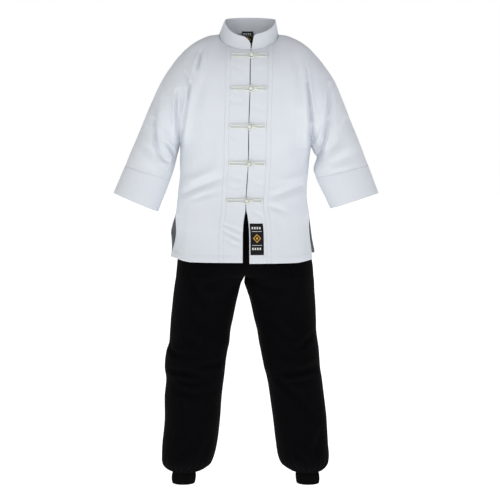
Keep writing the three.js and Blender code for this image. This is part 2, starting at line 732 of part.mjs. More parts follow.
/** A sleeve and its cuff. */
function sleeve(side) {
  const seamShare = SEAM / 190;
  const rings = [0, 0.4, 0.9, 1.5, 2.1, 2.7, 3.3, 3.9, 4.35, 4.75, 5.15, 5.55, CUFF_ROW - seamShare];
  const grid = rings.map((row) => sleeveRing(side, row));
  grid[0].forEach((point) => {
    point.x += SIDES[side] * SEAM / 2;
  });
  const middle = sleeveRing(side, 3).reduce((sum, p) => sum.add(p), new THREE.Vector3());
  const inside = middle.divideScalar(SLEEVE_COLUMNS);
  const last = rings.length - 1;
  const planes = { 0: armholePlane(side), [last]: ringPlane(side, CUFF_ROW) };
  const options = { closed: true, inside, seams: (j) => (planes[j] ? [{ normal: planes[j] }] : []) };
  const name = `sleeve_${side}`;
  const faceOf = (point) => (point.y < 0 ? 'front' : 'back');
  const folded = fold(grid, name, faceOf, options, { top: true, bottom: true });
  const normals = directions(folded, options);
  addPiece(name, shell(folded, moved(folded, normals, -DRILL), true), WHITE, ROUGHNESS.drill);

  const cuffRings = [CUFF_ROW + seamShare, 6.5, 7];
  const cuffGrid = cuffRings.map((row) => sleeveRing(side, row));
  const cuffMiddle = sleeveRing(side, 6.5).reduce((sum, p) => sum.add(p), new THREE.Vector3());
  const cuffOptions = {
    closed: true,
    inside: cuffMiddle.divideScalar(SLEEVE_COLUMNS),
    seams: (j) => (j === 0 ? [{ normal: planes[last] }] : []),
  };
  const cuffNormals = directions(cuffGrid, cuffOptions);
  addPiece(`cuff_${side}`, shell(cuffGrid, moved(cuffGrid, cuffNormals, -DRILL), true), WHITE, ROUGHNESS.drill);
}

const COLLAR = {
  ends: { right: { x: 8.4, corner: 28, height: 38 }, left: { x: 9.6, corner: 9, height: 45 } },
  lean: { front: 0.2, right: 0.4, left: 0.19, back: 0.16 },
  backRise: 2.5,              // how much taller the collar is at the centre back
  spreadLeft: 9,              // how far the top of the left end stands away from the opening
  endSteps: [0, 2, 4.5, 7.5, 11],   // degrees between the columns of the rounded ends
  rows: 4,
};

/** Height of the collar at a distance from one of its rounded front ends. */
function collarHeight(side, distance) {
  const { corner, height } = COLLAR.ends[side];
  const settled = lerp(height, COLLAR_HEIGHT, THREE.MathUtils.smoothstep(distance, 0, 110));
  if (distance >= corner) return settled;
  return settled - corner + Math.sqrt(corner ** 2 - (corner - distance) ** 2);
}

/** Angles where columns of the jacket meet the neckline, from the opening round to the back. */
function necklineKnots(side) {
  const fronts = FRONT_COLUMNS[side].map((offset) => opening[side](-NECK.drop) + SIDES[side] * offset);
  const toNeckPoint = neckAngles(side, fronts[fronts.length - 1], NECK_COLUMNS.front);
  const toBack = neckAngles(side, NECK.middle, NECK_COLUMNS.back).reverse().slice(1);
  const behind = [...toBack, 0].map((angle) => SIDES[side] * Math.PI - angle);
  return [...fronts.map(neckAngle), ...toNeckPoint, ...behind].map((angle) => SIDES[side] * angle);
}

/** The straight-sided line through the knots, at an angle from the opening. */
function onKnots(side, knots, angle) {
  let k = 0;
  while (k < knots.length - 2 && angle > knots[k + 1]) k += 1;
  const start = neckline(SIDES[side] * knots[k]);
  const share = (angle - knots[k]) / (knots[k + 1] - knots[k]);
  return start.lerp(neckline(SIDES[side] * knots[k + 1]), share);
}

/** The columns of one side of the collar, from its front end to the centre back. */
function collarColumns(side) {
  const knots = necklineKnots(side);
  const end = SIDES[side] * neckAngle(COLLAR.ends[side].x);
  const endAngles = COLLAR.endSteps.map((step) => end + THREE.MathUtils.degToRad(step));
  const lastEnd = endAngles[endAngles.length - 1];
  const rest = knots.filter((angle) => angle > lastEnd + 0.04);
  const radius = (NECK.halfWidth + NECK.front) / 2;
  return [...endAngles, ...rest].map((angle) => {
    const forward = Math.cos(angle);
    const tall = collarHeight(side, (angle - end) * radius) + COLLAR.backRise * Math.min(forward, 0) ** 2;
    return Array.from({ length: COLLAR.rows }, (_, j) => {
      const height = tall * j / (COLLAR.rows - 1);
      const point = onKnots(side, knots, angle);
      const lean = lerp(COLLAR.lean[side], forward > 0 ? COLLAR.lean.front : COLLAR.lean.back, forward ** 2);
      const inward = new THREE.Vector3(-SIDES[side] * Math.sin(angle), forward, 0);
      point.addScaledVector(inward, lean * height);
      point.z += SEAM + height;
      const spread = COLLAR.spreadLeft * (height / COLLAR_HEIGHT) * Math.exp((end - angle) / 0.35);
      if (side === 'left') point.x += spread;
      return point;
    });
  });
}

/** The standing collar, from its right front end round the back to its left one. */
function collar() {
  const columns = [...collarColumns('right'), ...collarColumns('left').reverse().slice(1)];
  const grid = Array.from({ length: COLLAR.rows }, (_, j) => columns.map((column) => column[j]));
  const options = { inside: new THREE.Vector3(NECK.middle, -10, 0) };
  const normals = directions(grid, options);
  addPiece('collar', shell(grid, moved(grid, normals, -COLLAR_CLOTH), false), WHITE, ROUGHNESS.drill);
}

/** The woven patch on the left front, made from the points of the panel under it. */
function hemPatch({ folded, normals }) {
  const rows = levelsOf('left');
  const top = YOKE_ROWS + rows.indexOf(PATCH.top);
  const bottom = YOKE_ROWS + rows.indexOf(PATCH.bottom);
  const part = folded.slice(top, bottom + 1).map((row) => row.slice(1, 4));
  const partNormals = normals.slice(top, bottom + 1).map((row) => row.slice(1, 4));
  const geometry = shell(moved(part, partNormals, SEAM + LABEL), moved(part, partNormals, SEAM), false);
  addPiece('hem_patch', geometry, BLACK, ROUGHNESS.label);
}

const NECK_LABEL = { x: -1, halfWidth: 17, top: 14, bottom: -36, slope: 0.12 };

/** The woven label that hangs from the back of the collar, inside. */
function neckLabel() {
  const columns = [-1, -0.5, 0, 0.5, 1];
  const rows = [0, 0.33, 0.67, 1];
  const grid = rows.map((share) => columns.map((across) => {
    const x = NECK_LABEL.x + across * NECK_LABEL.halfWidth;
    const collarInside = necklineAt('back', x).y - COLLAR.lean.back * NECK_LABEL.top - COLLAR_CLOTH - SEAM;
    const drop = (NECK_LABEL.top - NECK_LABEL.bottom) * share;
    return new THREE.Vector3(x, collarInside - 0.4 + NECK_LABEL.slope * drop * 0.5, NECK_LABEL.top - drop);
  }));
  const normals = directions(grid, { inside: new THREE.Vector3(0, -200, 0) });
  addPiece('neck_label', shell(grid, moved(grid, normals, -LABEL), false), BLACK, ROUGHNESS.label);
}

/** A place on the jacket front, lifted off the cloth. */
function onFront(x, z, lift) {
  const here = panelPoint('front', x, z);
  const step = 4;
  const across = panelPoint('front', x + step, z).sub(panelPoint('front', x - step, z));
  const down = panelPoint('front', x, z - step).sub(panelPoint('front', x, z + step));
  const out = down.cross(across).normalize();
  out.multiplyScalar(out.y > 0 ? -1 : 1);
  here.y -= SEAM / 2;
  return here.addScaledVector(out, lift);
}

/** A cord of round section along a smooth path. */
function cordGeometry(points, closed, steps) {
  const section = new THREE.Shape();
  section.absarc(0, 0, FROG.cord / 2, 0, 2 * Math.PI);
  const path = new THREE.CatmullRomCurve3(points, closed);
  const options = { extrudePath: path, steps, curveSegments: 3, bevelEnabled: false };
  return new THREE.ExtrudeGeometry(section, options);
}

/** The loop half: one closed cord from the right front, over the neck of the knot. */
function frogLoop(frog, number) {
  const half = FROG.spread / 2;
  const ballX = frog.x + FROG.ballOffset;
  const clear = (FROG.ball + FROG.cord) / 2 + 0.1;
  const outerX = frog.x - FROG.reachRight;
  const place = (x, up, lift = FROG.lift) => onFront(x, frog.z + up, lift - frog.settle);
  const topSide = [
    place(outerX + 0.6, 2.4),
    place(outerX + 4, half + 0.6),
    place(outerX + 14, half),
    place(frog.x - 22, half),
    place(ballX - 9, half + 1.6, FROG.lift + 0.6),
    place(ballX, clear, FROG.lift + 1.6),
    place(ballX + clear * 0.72, clear * 0.72, FROG.loopLift),
  ];
  const bottomSide = [
    place(ballX + clear * 0.72, -clear * 0.72, FROG.loopLift),
    place(ballX, -clear, FROG.lift + 1.6),
    place(ballX - 9, -half - 1.6, FROG.lift + 0.6),
    place(frog.x - 22, -half),
    place(outerX + 14, -half),
    place(outerX + 4, -half - 0.6),
    place(outerX + 0.6, -2.4),
  ];
  const behindBall = place(ballX + clear + 0.6, 0, FROG.loopLift + 0.6);
  const geometry = cordGeometry([...topSide, behindBall, ...bottomSide], true, 26);
  addPiece(`frog_${number}_loop`, geometry, ECRU, ROUGHNESS.cord);
}

/** The knot half: a doubled cord on the left front, and the ball that it is tied into. */
function frogKnot(frog, number) {
  const half = FROG.spread / 2;
  const radius = FROG.ball / 2;
  const ballX = frog.x + FROG.ballOffset;
  const outerX = frog.x + FROG.reachLeft;
  const place = (x, up, lift = FROG.lift) => onFront(x, frog.z + up, lift - frog.settle);
  const neckX = ballX + 0.93 * radius;
  const lane = FROG.cord / 2 + 0.2;
  const points = [
    place(neckX, lane),
    place(ballX + 15, lane),
    place(ballX + 22, half),
    place(outerX - 12, half),
    place(outerX - 3.4, half + 0.6),
    place(outerX - 0.4, 0),
    place(outerX - 3.4, -half - 0.6),
    place(outerX - 12, -half),
    place(ballX + 22, -half),
    place(ballX + 15, -lane),
    place(neckX, -lane),
  ];
  addPiece(`frog_${number}_knot`, cordGeometry(points, false, 18), ECRU, ROUGHNESS.cord);
  const ball = new THREE.SphereGeometry(radius, 9, 6);
  const centre = place(ballX, 0, radius + SEAM);
  ball.translate(centre.x, centre.y, centre.z);
  addPiece(`frog_${number}_ball`, ball, ECRU, ROUGHNESS.cord);
}

const LEG_COLUMNS = 7;
const SEAT_LEVELS = [WAIST_Z, -470, -535, SEAT_TOP, -640, -672, -695, -710, -716.5, CROTCH];
const LEG_LEVELS = [-727, -742, -765, -800, -840, -880, -915, -945, -973, -998, -1016, -1040, -1072,
  -1110, -1150, -1200, -1245, -1275, -1292, -1305, ANKLE_Z];

/** The line between the legs, where the rise seams lie. */
function riseX(z) {
  return lerp(-13, -10, THREE.MathUtils.clamp((WAIST_Z - z) / (WAIST_Z - CROTCH), 0, 1));
}

/** One level section of a leg or of half the seat. */
function legSection(side, z) {
  const sign = SIDES[side];
  if (z < CROTCH) {
    const outer = legs[`${side}Outer`](z);
    const inner = legs[`${side}Inner`](z);
    return {
      middle: (outer + inner) / 2,
      halfWidth: Math.abs(outer - inner) / 2,
      start: -Math.PI / 2,
      front: legs.front(z),
      back: legs.back(z),
      middleY: legs.middleY(z),
    };
  }
  const divided = THREE.MathUtils.clamp((SEAT_TOP - z) / (SEAT_TOP - CROTCH), 0, 1) ** 1.2;
  const rise = riseX(z) + sign * SEAM * 0.6;
  const whole = Math.abs(seat[side](z) - rise);
  return {
    middle: rise + sign * (whole / 2) * divided,
    halfWidth: whole * (1 - divided / 2),
    start: -Math.asin((divided / 2) / (1 - divided / 2)),
    front: seat.front(z),
    back: seat.back(z),
    middleY: 0,
  };
}

/** The front or back of one trouser leg, from the waist to the ankle. */
function trouserPanel(face, side) {
  const forward = face === 'front' ? -1 : 1;
  const levels = [...SEAT_LEVELS, ...LEG_LEVELS];
  const grid = levels.map((z) => {
    const section = legSection(side, z);
    return Array.from({ length: LEG_COLUMNS + 1 }, (_, i) => {
      const angle = lerp(section.start, Math.PI / 2, i / LEG_COLUMNS);
      const share = Math.sin(angle);
      const x = section.middle + SIDES[side] * section.halfWidth * share;
      const depth = section[face] * bulge(share, LEG_ROUNDNESS);
      const level = z === WAIST_Z ? z - SEAM / 2 : z;
      const y = section.middleY + forward * (depth + SEAM / 2);
      return new THREE.Vector3(x, y, z === ANKLE_Z ? z + SEAM : level);
    });
  });
  const crotchRow = SEAT_LEVELS.length - 1;
  const lastRow = levels.length - 1;
  const outward = new THREE.Vector3(SIDES[side], 0, 0);
  const seams = (j, i) => {
    const edge = i === 0 || i === LEG_COLUMNS;
    const sideGuide = i === 0 && j > crotchRow ? outward.clone().negate() : outward;
    const planes = [];
    if (edge && (i > 0 || j > crotchRow)) planes.push({ normal: LEVEL_Y, along: 'column', guide: sideGuide });
    if (i === 0 && j < crotchRow) {
      planes.push({ normal: LEVEL_X, along: 'column', guide: new THREE.Vector3(0, forward, -0.4) });
    }
    if (i === 0 && j === crotchRow) {
      return [{ normal: LEVEL_X, guide: new THREE.Vector3(0, 0, -1) }, { normal: LEVEL_Y }];
    }
    if (j === 0 || j === lastRow) {
      if (edge) {
        const guide = planes[0].guide;
        return [{ normal: LEVEL_Z, guide }, { normal: planes[0].normal }];
      }
      planes.push({ normal: LEVEL_Z, along: 'row' });
    }
    return planes;
  };
  const section = legSection(side, -900);
  const options = { inside: new THREE.Vector3(section.middle, 0, -900), seams };
  const name = `trouser_${face}_${side}`;
  const folded = fold(grid, name, () => face, options, { top: true, bottom: true, start: true, end: true });
  const normals = directions(folded, options);
  addPiece(name, shell(folded, moved(folded, normals, -COTTON), false), BLACK, ROUGHNESS.cotton);
}

/** An upright ring of cloth through level sections. */
function band(sections, columns, thickness) {
  const grid = sections.map(({ middle, halfWidth, middleY, front, back, z }) => (
    Array.from({ length: columns }, (_, i) => {
      const angle = (2 * Math.PI * i) / columns;
      const share = Math.cos(angle);
      const depth = (Math.sin(angle) > 0 ? -front : back) * bulge(share, LEG_ROUNDNESS);
      return new THREE.Vector3(middle + halfWidth * share, middleY + depth, z);
    })
  ));
  const centre = new THREE.Vector3(sections[0].middle, sections[0].middleY, sections[0].z);
  const lastRow = sections.length - 1;
  const seams = (j) => (j === 0 || j === lastRow ? [{ normal: LEVEL_Z }] : []);
  const normals = directions(grid, { closed: true, inside: centre, seams });
  return shell(grid, moved(grid, normals, -thickness), true);
}

/** The elastic waistband. */
function waistband() {
  const left = seat.left(WAIST_Z);
  const right = seat.right(WAIST_Z);
  const section = {
    middle: (left + right) / 2,
    halfWidth: (left - right) / 2,
    middleY: 0,
    front: seat.front(WAIST_Z),
    back: seat.back(WAIST_Z),
  };
  const sections = [WAISTBAND_HEIGHT, SEAM / 2].map((up) => ({ ...section, z: WAIST_Z + up }));
  addPiece('waistband', band(sections, 4 * LEG_COLUMNS, 2.4), BLACK, ROUGHNESS.cotton);
}

/** The elastic cuff at the end of a leg. */
function ankleCuff(side) {
  const sections = ANKLE_CUFF.map(({ z }) => {
    const outer = ankle[`${side}Outer`](z);
    const inner = ankle[`${side}Inner`](z);
    return {
      middle: (outer + inner) / 2,
      halfWidth: Math.abs(outer - inner) / 2,
      middleY: ANKLE_MIDDLE_Y,
      front: ankle.front(z),
      back: ankle.back(z),
      z,
    };
  });
  addPiece(`ankle_cuff_${side}`, band(sections, 20, 2), BLACK, ROUGHNESS.elastic);
}

jacketBack();
const frontRight = jacketFront('right');
const frontLeft = jacketFront('left');
hemPatch(frontLeft);
sleeve('right');
sleeve('left');
collar();
neckLabel();
FROGS.forEach((frog, index) => {
  frogLoop(frog, index + 1);
  frogKnot(frog, index + 1);
});
waistband();
['right', 'left'].forEach((side) => {
  trouserPanel('front', side);
  trouserPanel('back', side);
  ankleCuff(side);
});

export default group;
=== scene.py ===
"""Looks of the tai chi uniform: cloth, stitching, frog cords, labels, stage and camera.

The tables and surfaces are in millimetres and in the frame of the CAD: +X is the wearer's left,
-Y is the front and +Z is up. Each piece of cloth is a grid of points on its solid's form, with
its creases pressed in, and is given the thickness of the cloth.
"""
import bisect
import math

import bpy
import numpy as np
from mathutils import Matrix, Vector, noise
from mathutils.bvhtree import BVHTree


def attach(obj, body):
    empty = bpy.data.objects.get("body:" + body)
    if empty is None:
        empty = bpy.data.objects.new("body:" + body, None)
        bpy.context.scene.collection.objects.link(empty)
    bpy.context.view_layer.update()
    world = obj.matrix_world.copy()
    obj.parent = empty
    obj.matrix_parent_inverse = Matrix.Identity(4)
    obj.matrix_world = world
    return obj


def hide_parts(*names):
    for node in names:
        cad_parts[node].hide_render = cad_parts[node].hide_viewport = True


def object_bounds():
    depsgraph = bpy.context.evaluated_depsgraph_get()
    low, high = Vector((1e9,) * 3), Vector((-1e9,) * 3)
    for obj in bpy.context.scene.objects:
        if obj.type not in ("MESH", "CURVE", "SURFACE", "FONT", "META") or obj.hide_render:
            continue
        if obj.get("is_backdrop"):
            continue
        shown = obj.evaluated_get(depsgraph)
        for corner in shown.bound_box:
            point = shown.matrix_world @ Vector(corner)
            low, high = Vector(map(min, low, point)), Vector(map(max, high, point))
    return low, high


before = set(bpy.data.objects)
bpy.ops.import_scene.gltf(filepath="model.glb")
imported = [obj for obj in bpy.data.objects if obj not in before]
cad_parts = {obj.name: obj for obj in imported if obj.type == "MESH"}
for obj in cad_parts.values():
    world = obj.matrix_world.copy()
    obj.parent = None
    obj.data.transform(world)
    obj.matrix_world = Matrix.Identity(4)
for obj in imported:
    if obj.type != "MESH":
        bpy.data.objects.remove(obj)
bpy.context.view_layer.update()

MM = 0.001
DRILL = 1.6                   # thickness of the jacket's cloth, and so on for the others
CUFF_CLOTH = 2.4
COLLAR_CLOTH = 2.4
COTTON = 1.5
WAISTBAND_CLOTH = 2.4
ELASTIC = 2
TRIM = 1.1
LABEL = 0.8
SEAM = 0.3                    # gap between pieces that are sewn together
ROUNDNESS = 2.4               # power of the rounded sections: 2 is an ellipse
LEG_ROUNDNESS = 2.2
STIFF_EDGE = 9                # creases die out over this distance from a seam
HEM_TURN = 18                 # depth of the turned hems
TURNED = 0.5                  # how far a turned hem stands out on each side
VENT_FACING = 14              # width of the cloth turned in beside a vent
FRONT_FACING = 30             # width of the facing beside the opening
FACING_SHARE = 0.6            # thickness that the facing adds, as a share of a hem's

NECK_MIDDLE = 2.2
NECK_HALF_WIDTH = 88
NECK_FRONT = 82
NECK_BACK = 60
NECK_DROP = 50
NECK_RISE = 8
COLLAR_HEIGHT = 44
YOKE_SLOPE_NECK = 0.75
YOKE_SLOPE_SHOULDER = 0.16
SHOULDER_POINT = (186, -45)
ARMPIT = {"right": (-203, -325), "left": (188, -333)}
ARMHOLE_DEPTH = {"front": 95, "back": 100}
YOKE_Z = -140
VENT_TOP = -531
HEM = -665
CROTCH = -719
SEAT_TOP = -600
WAIST_Z = -410
ANKLE_Z = -1316
PATCH = {"from": 3, "to": 42, "top": -555, "bottom": -642}
SIDES = {"right": -1, "left": 1}
FACES = {"front": -1, "back": 1}


def table(columns, rows):
    """Rows of numbers as dictionaries with named columns."""
    return [dict(zip(columns.split(), row)) for row in rows]


SHOULDER = table("x z", [
    (80, 2), (90, 0), (112, -3), (131, -10), (150, -19), (170, -32), (186, -45),
])

BODY = table("z middle front back", [
    (8, 2, 60, 62),
    (0, 2, 66, 70),
    (-20, 2, 79, 86),
    (-46, 2, 89, 99),
    (-80, 2, 103, 110),
    (-120, 1, 115, 118),
    (-200, -3, 126, 120),
    (-300, -8, 126, 109),
    (-400, -13, 119, 100),
    (-460, -16, 117, 98),
    (-530, -18, 119, 108),
    (-600, -17, 124, 120),
    (-665, -16, 130, 129),
])

SIDE_SEAM = table("z right left", [
    (-325, -203, 188),
    (-345, -201.5, 186),
    (-377, -202.5, 182),
    (-413, -202, 179),
    (-449, -206.5, 176),
    (-485, -211, 176.5),
    (-521, -215.5, 182),
    (-531, -217, 183),
])

VENT_EDGES = {
    "front_right": table("z x inset", [
        (-531, -217, 0),
        (-560, -216, 4),
        (-585, -214.5, 6),
        (-604, -216.5, 8),
        (-635, -223, 11),
        (-664, -231, 15),
    ]),
    "front_left": table("z x inset", [
        (-531, 183, 0), (-560, 182, 9), (-600, 184, 22), (-640, 189, 32), (-664, 191, 36),
    ]),
    "back_right": table("z x inset", [
        (-531, -217, 0),
        (-560, -226.5, 12),
        (-585, -233, 22),
        (-604, -232, 29),
        (-635, -231.5, 40),
        (-664, -234, 46),
    ]),
    "back_left": table("z x inset", [
        (-531, 183, 0), (-560, 187, 10), (-600, 193, 26), (-635, 199, 38), (-655, 202, 42),
    ]),
}

FRONT_HEM = {
    "right": {"drop": 4, "lift": 11, "from": 165, "to": 236},
    "left": {"drop": 6.5, "lift": 6, "from": 140, "to": 195},
}
BACK_HEM = {"lift": 13, "from": 110, "to": 202}
LIFT_TOP = -600               # level where the lift of the hem sets in

OPENING = table("z right left", [
    (-40, 8.6, 9.4),
    (-70, 7.3, 8.7),
    (-115, 5.2, 8.6),
    (-165, 5.3, 6.7),
    (-220, 3.2, 5.4),
    (-274, 1.8, 3.2),
    (-330, 0.6, 3),
    (-381, 0.4, 1.6),
    (-435, -3.5, -1.3),
    (-490, -6.7, -5.3),
    (-517, -7.4, -4.6),
    (-534, -10, -1),
    (-552, -12.8, 1.2),
    (-572, -14.2, 3),
    (-597, -15, 4),
    (-665, -15.2, 4.2),
])

SLEEVE_COLUMNS = "outer_x outer_z inner_x inner_z front back middle_y"
SLEEVES = {
    "right": table(SLEEVE_COLUMNS, [
        (-186, -45, -203, -325, 95, 100, 0),
        (-222, -86, -204.5, -330, 92, 94, 0),
        (-258, -140, -206.5, -339, 86, 86, 0),
        (-286, -200, -209.5, -352, 78, 76, -3),
        (-310, -256, -214, -370, 70, 68, -6),
        (-336, -318, -221, -401, 62, 58, -16),
        (-364, -388, -231, -430, 55, 52, -24),
        (-398, -468, -266.5, -524, 52, 48, -34),
    ]),
    "left": table(SLEEVE_COLUMNS, [
        (186, -45, 188, -333, 95, 100, 0),
        (224, -88, 191, -337, 92, 94, 0),
        (258, -141, 194, -344, 86, 86, 0),
        (284, -200, 199, -353, 78, 76, -3),
        (306, -256, 205, -364, 70, 68, -6),
        (331, -318, 195, -396, 62, 58, -18),
        (356, -386, 203, -424, 55, 52, -26),
        (387, -468, 244, -515, 52, 48, -38),
    ]),
}
CUFF_ROW = 6

SEAT = table("z right left front back", [
    (-410, -178, 152, 97, 86),
    (-450, -186, 158, 101, 86),
    (-500, -194, 166, 104, 92),
    (-560, -204, 174, 107, 103),
    (-600, -207, 178, 108, 109),
    (-640, -209, 186, 108, 113),
    (-683, -213, 194, 107, 114),
    (-719, -216, 197, 104, 112),
])

LEGS = table("z right_outer right_inner left_inner left_outer front back middle_y", [
    (-719, -216, -10.2, -9.8, 197, 104, 112, 0),
    (-737, -219, -20, -11.5, 199, 101, 110, 0),
    (-755, -222, -25, -6, 199.5, 98, 107, 0),
    (-791, -226, -33.5, 6, 201.5, 92, 102, 0),
    (-846, -232, -45, 18, 205, 86, 96, 0),
    (-882, -235, -53, 27, 206, 83, 92, -1),
    (-919, -238, -57, 33, 211, 80, 88, -2),
    (-943, -246, -62, 38, 214, 79, 86, -3),
    (-992, -251, -69, 48, 217, 77, 82, -4),
    (-1028, -247, -73, 57, 223, 75, 80, -3),
    (-1083, -252, -79, 66, 230, 74, 78, 0),
    (-1157, -253, -85, 76, 238, 72, 76, 5),
    (-1230, -260.5, -94, 85, 243, 70, 74, 9),
    (-1267, -262, -103, 91, 246, 67, 70, 10),
    (-1288, -261, -113, 101, 243, 60, 62, 10),
    (-1304, -250, -134, 124, 231, 48, 50, 10),
    (-1316, -228, -161, 146, 213, 36, 38, 10),
])

ANKLE_CUFF = table("z right_outer right_inner left_inner left_outer front back", [
    (-1316, -228, -161, 146, 213, 36, 38),
    (-1325, -231, -159, 145, 216, 38, 40),
    (-1339, -232, -160, 146, 217, 38, 40),
    (-1350, -230, -162, 148, 216, 37, 39),
])
ANKLE_MIDDLE_Y = 10
WAISTBAND_HEIGHT = 34

FROGS = table("x z settle", [
    (8, -69, 1.3), (6, -165, 0.4), (2.5, -274, 0.1), (1, -381, 0), (-6, -489.5, 0),
])
FROG_CORD = 4
FROG_SPREAD = 8.4
FROG_REACH_RIGHT = 55
FROG_REACH_LEFT = 48
FROG_BALL = 12.4
FROG_BALL_OFFSET = 3
FROG_LIFT = 2.35
FROG_LOOP_LIFT = 6.3

